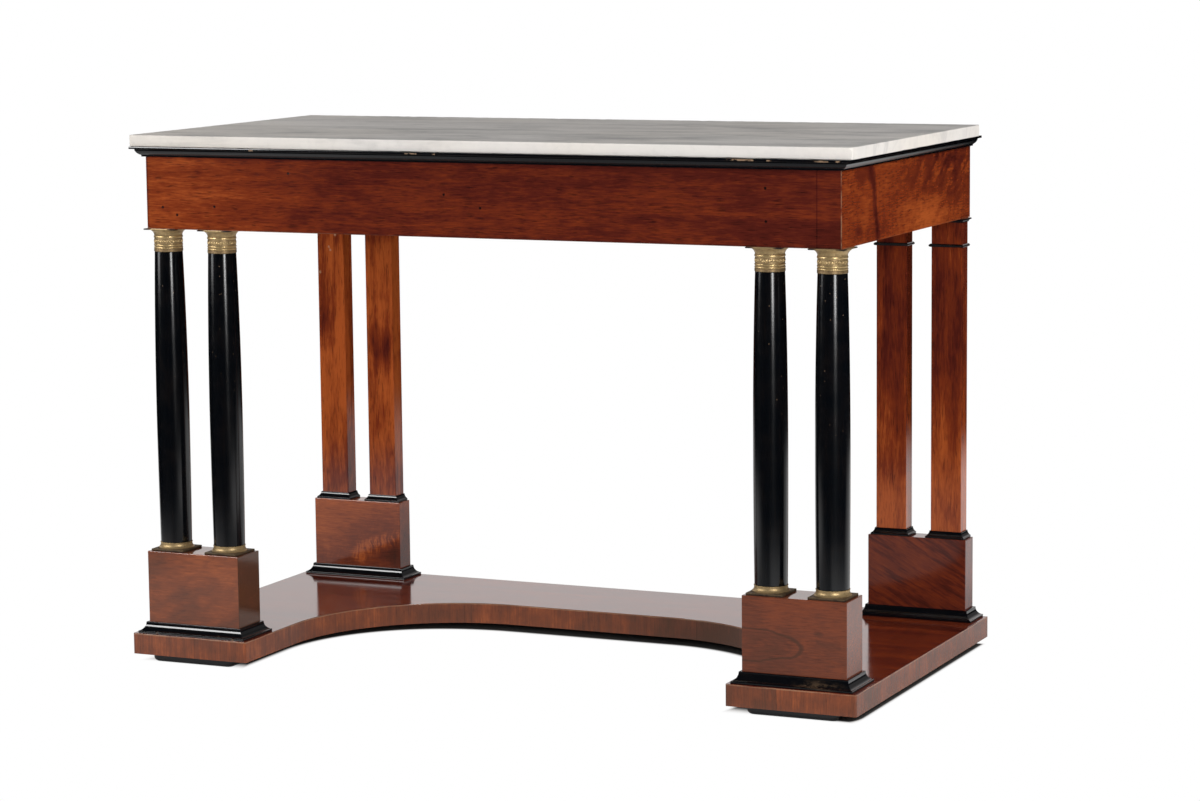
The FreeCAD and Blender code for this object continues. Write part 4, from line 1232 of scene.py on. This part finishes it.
class MakePlatform(PierTableOperator, bpy.types.Operator):
    """Model the platform's top sheet and the cross-grained band on its edges"""

    bl_idname = "pier_table.make_platform"
    bl_label = "Platform"

    RECESS_SIDE = 427 * MM
    RECESS_DEPTH = 447 * MM
    RECESS_RADIUS = 277 * MM
    CORNER = 3 * MM
    CORNER_STEPS = 4
    ARRIS = 0.5 * MM
    ARC_STEPS = 40
    LENGTHS = 11.5  # of veneer to a metre of the band
    FADED = 0.34  # how brown the band has gone

    def execute(self, context):
        low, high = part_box("platform_top_veneer")
        sheet = self.outline(low, high)
        bmesh.ops.contextual_create(sheet, geom=[*sheet.verts, *sheet.edges])
        upper = bmesh.ops.extrude_face_region(sheet, geom=list(sheet.faces), use_keep_orig=True)["geom"]
        bmesh.ops.translate(sheet, vec=UP * (high.z - low.z), verts=verts_in(upper))
        bmesh.ops.recalc_face_normals(sheet, faces=sheet.faces)
        ease(sheet, edges_at(sheet, 2, high.z), self.ARRIS, segments=2)
        wood = mahogany("mahogany_platform_top", "X", 17.0, 0.54, worn=self.scratched, cloudy=0.3, satin=0.075)
        finish("platform_top_dressed", sheet, wood, "mahogany", "platform_top_veneer")
        finish("platform_band_dressed", self.band(low, high), self.crossband(), "crossbanding", "platform_edge_band")
        return {"FINISHED"}

    def band(self, low, high):
        """The veneer on the edges of the front and sides, as thick as the top sheet, which low and high bound."""
        bottom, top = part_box("platform_edge_band")
        band = self.outline(low, high)
        bmesh.ops.translate(band, vec=UP * (bottom.z - low.z), verts=band.verts)
        bmesh.ops.delete(band, geom=edges_at(band, 1, high.y), context="EDGES")
        upper = bmesh.ops.extrude_edge_only(band, edges=list(band.edges))["geom"]
        bmesh.ops.translate(band, vec=UP * (top.z - bottom.z), verts=verts_in(upper))
        bmesh.ops.recalc_face_normals(band, faces=band.faces)
        if sum(f.normal.x * f.calc_center_median().x for f in band.faces if abs(f.normal.x) > 0.99) < 0:
            bmesh.ops.reverse_faces(band, faces=band.faces)
        bmesh.ops.solidify(band, geom=list(band.faces), thickness=low.z - high.z)
        return band

    def outline(self, low, high):
        """The platform's plan as a ring of edges, clockwise from its left back corner."""
        bm = bmesh.new()
        front, back, side = low.y, high.y, high.x
        recess, recess_back, radius = self.RECESS_SIDE, low.y + self.RECESS_DEPTH, self.RECESS_RADIUS
        corner, z = self.CORNER, low.z
        pen = [bm.verts.new((-side, back, z))]
        first = pen[0]

        def run(x, y):
            made = bmesh.ops.extrude_vert_indiv(bm, verts=pen)["verts"]
            bmesh.ops.translate(bm, verts=made, vec=Vector((x, y, z)) - made[0].co)
            pen[:] = made

        def turn(x, y, degrees, steps):
            made = bmesh.ops.spin(
                bm, geom=pen, cent=(x, y, z), axis=UP, angle=math.radians(degrees), steps=steps
            )["geom_last"]
            pen[:] = verts_in(made)

        def round_corner(x):
            turn(x, front + corner, -90, self.CORNER_STEPS)

        def sweep(x):
            turn(x, recess_back - radius, 90, self.ARC_STEPS)

        run(side, back)
        run(side, front + corner)
        round_corner(side - corner)
        run(recess + corner, front)
        round_corner(recess + corner)
        run(recess, recess_back - radius)
        sweep(recess - radius)
        run(radius - recess, recess_back)
        sweep(radius - recess)
        run(-recess, front + corner)
        round_corner(-recess - corner)
        run(corner - side, front)
        round_corner(corner - side)
        bm.edges.new((pen[0], first))
        return bm

    @staticmethod
    def scratched(shader):
        """Two pale scratches on the left wing, and a rim rubbed pale."""
        rim = shader.height().rise(PLATFORM_TOP - 0.0002, PLATFORM_TOP - 0.0006)
        rim = rim * shader.noise(shader.place(), scale=24).rise(0.2, 0.6)
        place = shader.warp(shader.place(), 30, 0.001)
        first = shader.stroke(place, (-0.472, 0.085, PLATFORM_TOP), (-0.506, 0.111, PLATFORM_TOP), 0.0022)
        second = shader.stroke(place, (-0.435, 0.109, PLATFORM_TOP), (-0.436, 0.138, PLATFORM_TOP), 0.0020)
        return (first + second) * 0.45 + rim * 0.6

    def crossband(self):
        """Upright grain in short lengths of veneer that meet at fine dark joints, with painted shade right of the
        recess.
        """
        material, shader = new_material("mahogany_crossband")
        tones = colours()
        place = shader.place()
        x, y, z = shader.split(place)
        piece = (x + y * 1.13) * self.LENGTHS + shader.noise(place, scale=2.0) * 0.6
        step = piece - piece % 1.0
        joint = abs(piece % 1.0 - 0.5).rise(0.488, 0.498)
        offset = shader.node("ShaderNodeCombineXYZ", None, {0: step * 0.37, 1: step * 0.61, 2: step * 0.11})
        moved = shader.vector("ADD", place, offset)
        streaks = shader.noise(moved, (120, 120, 9), detail=4, roughness=0.65)
        fibre = shader.noise(moved, (620, 620, 22), detail=2, roughness=0.6)
        patch = shader.noise(place, scale=20, detail=4, roughness=0.65)
        each = shader.node("ShaderNodeTexWhiteNoise", {"noise_dimensions": "1D"}, {"W": step}, output="Value")
        pores = shader.noise(moved, (1500, 1500, 90), detail=1).rise(0.60, 0.72)
        tone = (streaks - 0.5) * 0.5 + (fibre - 0.5) * 0.5 + (patch - 0.5) * 0.8 + (each - 0.5) * 0.14 + 0.62
        # painted shade where the recess's curve turns away from the light near its right end; a little darker again
        # towards the right
        shaded_arc_end = x.rise(-0.06, 0.18) * y.rise(-0.30, -0.28) * x.rise(0.60, 0.50)
        tone = tone - shaded_arc_end * 0.20 - x.rise(-0.20, 0.10) * 0.06
        edge = z.rise(PLATFORM_TOP - 0.0026, PLATFORM_TOP - 0.0016) * (patch.rise(0.40, 0.60) * 0.40 + 0.15)
        dark = pores * 0.3 + joint * 0.25
        wood = shader.mix(self.FADED, wood_tone(shader, tone), tones.wood_faded)
        wood = shader.mix(edge, wood, tones.wood_worn)
        shader.surface(
            Base_Color=shader.mix(dark, wood, tones.wood_pore),
            Roughness=0.09 + patch * 0.07 + dark * 0.08,
            Normal=shader.bump(streaks * 0.3 + fibre * 0.05 - dark * 0.15, 0.00016),
        )
        return material


class MakeFeet(PierTableOperator, bpy.types.Operator):
    """Model the four low ebonised pads"""

    bl_idname = "pier_table.make_feet"
    bl_label = "Feet"

    CORNER = 14 * MM
    EDGE = 8 * MM

    def execute(self, context):
        material = ebonised("ebonised_feet", seed=6)
        for corner in CORNERS:
            node = f"foot_{corner}"
            low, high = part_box(node)
            pad = box(low, high)
            ease(pad, edges_along(pad, 2), self.CORNER, segments=8)
            ease(pad, edges_at(pad, 2, low.z), self.EDGE, segments=6)
            finish(f"{node}_dressed", pad, material, "ebonised_wood", node)
        return {"FINISHED"}


class FinishCarcase(PierTableOperator, bpy.types.Operator):
    """Give the softwood carcase and the screws their finish"""

    bl_idname = "pier_table.finish_carcase"
    bl_label = "Carcase and screws"

    GRAIN = {
        "X": ("frieze_rail_front", "frieze_rail_back", "platform_core"),
        "Y": ("frieze_rail_left", "frieze_rail_right", "marble_bearer_left", "marble_bearer_right"),
        "Z": ("corner_glue_blocks",),
    }
    SCREWS = ("foot_screws", "block_screws")

    def execute(self, context):
        for along, nodes in self.GRAIN.items():
            self.assign(planed_softwood(f"softwood_{along}", along), nodes)
        self.assign(dull_iron("iron"), self.SCREWS)
        return {"FINISHED"}

    @staticmethod
    def assign(material, nodes):
        for node in nodes:
            for material_slot in frame["nodes"][node].material_slots:
                material_slot.material = material


class SetStage(PierTableOperator, bpy.types.Operator):
    """Lay the floor and set the lamps, the world and the camera"""

    bl_idname = "pier_table.set_stage"
    bl_label = "Stage"

    CAMERA_PLACE = (2.3960, -5.1599, 1.2079)
    CAMERA_TURN = (24.235, -7.812, -0.588)  # degrees: to the left, up, and clockwise turns negative
    LENS = 103.13
    SENSOR = 36.0
    FLOOR_HALF = 40.0
    SHADOW = (-0.050, -0.002)  # where the floor's shadow starts to fade and where it ends, past the platform
    PAINTED_CONTACT_SHADOW = (-0.020, -0.046)  # where the painted shadow under the platform starts to darken the floor and where it is darkest
    RECESS_STEEP = 3.4  # how many times faster the shadow fades in the recess
    RECESS_SHORT = (0.032, 0.070)  # how much shorter it is at the recess's left end, and what it gains by the middle
    RECESS_LEFT = (-0.45, -0.15)  # where along X it gains that
    RIGHT_STEEP = 5.0  # how much faster it fades along the right side
    RIGHT_SIDE = ((0.55, 0.60), (-0.325, -0.27))  # where along X and Y that starts, and where it is full
    SHADE = (-0.01, 0.10)  # where the shadow starts to fade and where it ends, in what gloss mirrors
    POOL = (0.6, 1.5)  # where the floor's light for reflections starts to fade and where it ends
    POOL_BEHIND = 1.1  # how much further it reaches behind the table
    DIM = 0.65  # how much less light the floor in front of the table sends to what mirrors it
    AMBIENT = 0.34
    BACKDROP = 1.06  # the wall behind the table in what mirrors it
    DUSK = 0.02  # the rest of the room in what mirrors it
    BLUSH = (1.0, 0.95, 0.94)  # the colour of both
    AIM = Vector((0, 0, 0.45))  # what the lamps face
    LAMPS = (  # place, size, power, whether gloss mirrors it and whether it lights the table
        ("lamp_right", (3.35, -3.70, 1.27), (0.90, 1.9), 76.0, True, True),
        ("lamp_left", (-2.70, -1.60, 1.25), (1.1, 1.6), 21.0, True, True),
        ("lamp_high_left", (-2.00, -0.80, 2.50), (1.2, 1.2), 10.0, False, True),
        ("glint_left", (-1.97, -2.50, 1.36), (0.60, 0.95), 29.0, True, False),
        ("glint_right", (3.30, -3.65, 1.27), (1.9, 1.9), 38.0, True, False),
        ("fill_front", (0.30, -4.40, 1.60), (3.0, 1.6), 42.0, False, True),
        ("fill_right", (3.40, -0.20, 2.70), (1.6, 1.2), 66.0, False, True),
    )

    def execute(self, context):
        self.lay_floor(context)
        self.light_world(context)
        for lamp in self.LAMPS:
            self.add_lamp(context, *lamp)
        self.add_camera(context)
        context.scene.view_settings.view_transform = "Standard"
        return {"FINISHED"}

    def add_camera(self, context):
        camera = bpy.data.cameras.new("camera")
        camera.lens, camera.sensor_width, camera.sensor_fit = self.LENS, self.SENSOR, "HORIZONTAL"
        camera.dof.use_dof = False
        holder = bpy.data.objects.new("camera", camera)
        yaw, pitch, roll = map(math.radians, self.CAMERA_TURN)
        turn = Matrix.Rotation(yaw, 4, "Z") @ Matrix.Rotation(math.pi / 2 + pitch, 4, "X")
        holder.matrix_world = Matrix.Translation(self.CAMERA_PLACE) @ turn @ Matrix.Rotation(roll, 4, "Z")
        context.scene.collection.objects.link(holder)
        context.scene.camera = holder

    def add_lamp(self, context, name, place, size, power, shows, lights):
        """A soft box that faces the middle of the table."""
        light = bpy.data.lights.new(name, "AREA")
        light.shape, light.size, light.size_y, light.energy = "RECTANGLE", *size, power
        holder = bpy.data.objects.new(name, light)
        way = self.AIM - Vector(place)
        holder.matrix_world = Matrix.Translation(place) @ way.to_track_quat("-Z", "Y").to_matrix().to_4x4()
        holder.visible_glossy, holder.visible_diffuse = shows, lights
        context.scene.collection.objects.link(holder)

    def lay_floor(self, context):
        """A plain floor, white to the camera, that keeps the shadow, is painted darker under the platform, and is only
        lit round the table.
        """
        bm = bmesh.new()
        bmesh.ops.create_grid(bm, x_segments=1, y_segments=1, size=self.FLOOR_HALF)
        mesh = bpy.data.meshes.new("floor")
        bm.to_mesh(mesh)
        bm.free()
        floor = bpy.data.objects.new("floor", mesh)
        material, shader = new_material("floor")
        mesh.materials.append(material)
        context.scene.collection.objects.link(floor)
        x, y, _ = shader.split(shader.place())
        outer, recess = self.past_platform(x, y)
        gap = outer.at_least(recess)
        short, gain = self.RECESS_SHORT
        shaded = outer.at_least(recess * self.RECESS_STEEP + short - x.rise(*self.RECESS_LEFT) * gain)
        right = x.rise(*self.RIGHT_SIDE[0]) * y.rise(*self.RIGHT_SIDE[1])
        shaded = shaded + right * (outer * self.RIGHT_STEEP + self.SHADOW[1])
        camera, mirrored = self.rays(shader)
        # painted shadow: the floor's own colour goes dark under the platform's edge
        ground = shader.mix(shaded.rise(*self.PAINTED_CONTACT_SHADOW) * 0.9, colours().floor, (0.0, 0.0, 0.0))
        diffuse = shader.node("ShaderNodeBsdfDiffuse", None, {"Color": ground})
        to_right = x.rise(0.60, 0.90) * (1.0 - x.rise(1.1, 2.1) * 0.7)
        behind, to_left = y.rise(0.15, 0.45) * 0.4, x.rise(-0.25, -0.90) * 0.6
        dim = 1.0 - mirrored * (1.0 - to_right.at_least(behind).at_least(to_left)) * self.DIM
        white = shader.node("ShaderNodeEmission", None, {"Strength": dim})
        black = shader.node("ShaderNodeEmission", None, {"Strength": 0.0})
        clear = camera * shaded.rise(*self.SHADOW) + mirrored * gap.rise(*self.SHADE)
        near = shader.node("ShaderNodeMixShader", None, {0: clear, 1: diffuse, 2: white})
        far = mirrored * (gap - y.at_least(0.0).at_most(self.POOL_BEHIND)).rise(*self.POOL)
        shown = shader.node("ShaderNodeMixShader", None, {0: far, 1: near, 2: black})
        shader.node("ShaderNodeOutputMaterial", None, {"Surface": shown})

    @staticmethod
    def past_platform(x, y):
        """How far a place lies past the platform's outer edges, and past its edge in the recess."""
        side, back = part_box("platform_core")[1].xy
        beside, before = abs(x) - side, abs(y) - back
        radius = MakePlatform.RECESS_RADIUS
        across = (abs(x) - (MakePlatform.RECESS_SIDE - radius)).at_least(0.0)
        inward = (y - (MakePlatform.RECESS_DEPTH - back - radius)).at_least(0.0)
        outside = (beside.at_least(0.0) ** 2.0 + before.at_least(0.0) ** 2.0) ** 0.5
        return outside + beside.at_least(before).at_most(0.0), radius - (across * across + inward * inward) ** 0.5

    @staticmethod
    def rays(shader):
        """1 on what the camera sees itself, and 1 on what it sees by gloss or through glass."""
        kinds = ("Is Camera Ray", "Is Glossy Ray", "Is Transmission Ray")
        camera, glossy, through = (shader.node("ShaderNodeLightPath", output=kind) for kind in kinds)
        return camera, glossy + through

    def light_world(self, context):
        """White to the camera and behind the table, dim in front of it, and soft for the light it gives."""
        world = bpy.data.worlds.new("studio")
        world.use_nodes = True
        context.scene.world = world
        shader = Shader(world.node_tree)
        x, y, z = shader.split(shader.node("ShaderNodeTexCoord", output="Generated"))
        camera, mirrored = self.rays(shader)
        backdrop = y.rise(0.10, 0.35) * z.rise(0.60, 0.35) * z.rise(0.08, 0.14) * (1 - x.rise(-0.05, 0.20) * 0.85)
        light = (1 - camera) * (1 - mirrored) * self.AMBIENT
        strength = camera + mirrored * (self.DUSK + backdrop * self.BACKDROP) + light
        white = shader.mix(mirrored, (1.0, 1.0, 1.0), self.BLUSH)
        background = shader.node("ShaderNodeBackground", None, {"Color": white, "Strength": strength})
        shader.node("ShaderNodeOutputWorld", None, {"Surface": background})


class PierTablePanel(bpy.types.Panel):
    """The table's sizes, colours and operators"""

    bl_idname = "VIEW3D_PT_pier_table"
    bl_label = "Pier Table"
    bl_space_type = "VIEW_3D"
    bl_region_type = "UI"
    bl_category = "Pier Table"

    def draw(self, context):
        for group in (sizes(), colours()):
            column = self.layout.column(align=True)
            for name in group.__annotations__:
                column.prop(group, name)
        for operator in OPERATORS:
            self.layout.operator(operator.bl_idname)


OPERATORS = (
    SetStage,
    MakeMarble,
    MakeCornice,
    MakeFrieze,
    MakeColumns,
    MakeCapitals,
    MakeColumnBases,
    MakePilasters,
    MakeBlocks,
    MakePlatform,
    MakeFeet,
    FinishCarcase,
)
CLASSES = (PierTableSizes, PierTableColours, *OPERATORS, PierTablePanel)


def register():
    for cls in CLASSES:
        bpy.utils.register_class(cls)
    bpy.types.Scene.pier_table_sizes = PointerProperty(type=PierTableSizes)
    bpy.types.Scene.pier_table_colours = PointerProperty(type=PierTableColours)


def unregister():
    del bpy.types.Scene.pier_table_sizes
    del bpy.types.Scene.pier_table_colours
    for cls in reversed(CLASSES):
        bpy.utils.unregister_class(cls)


def main():
    register()
    for operator in OPERATORS:
        group, name = operator.bl_idname.split(".")
        getattr(getattr(bpy.ops, group), name)()


if __name__ == "__main__":
    main()
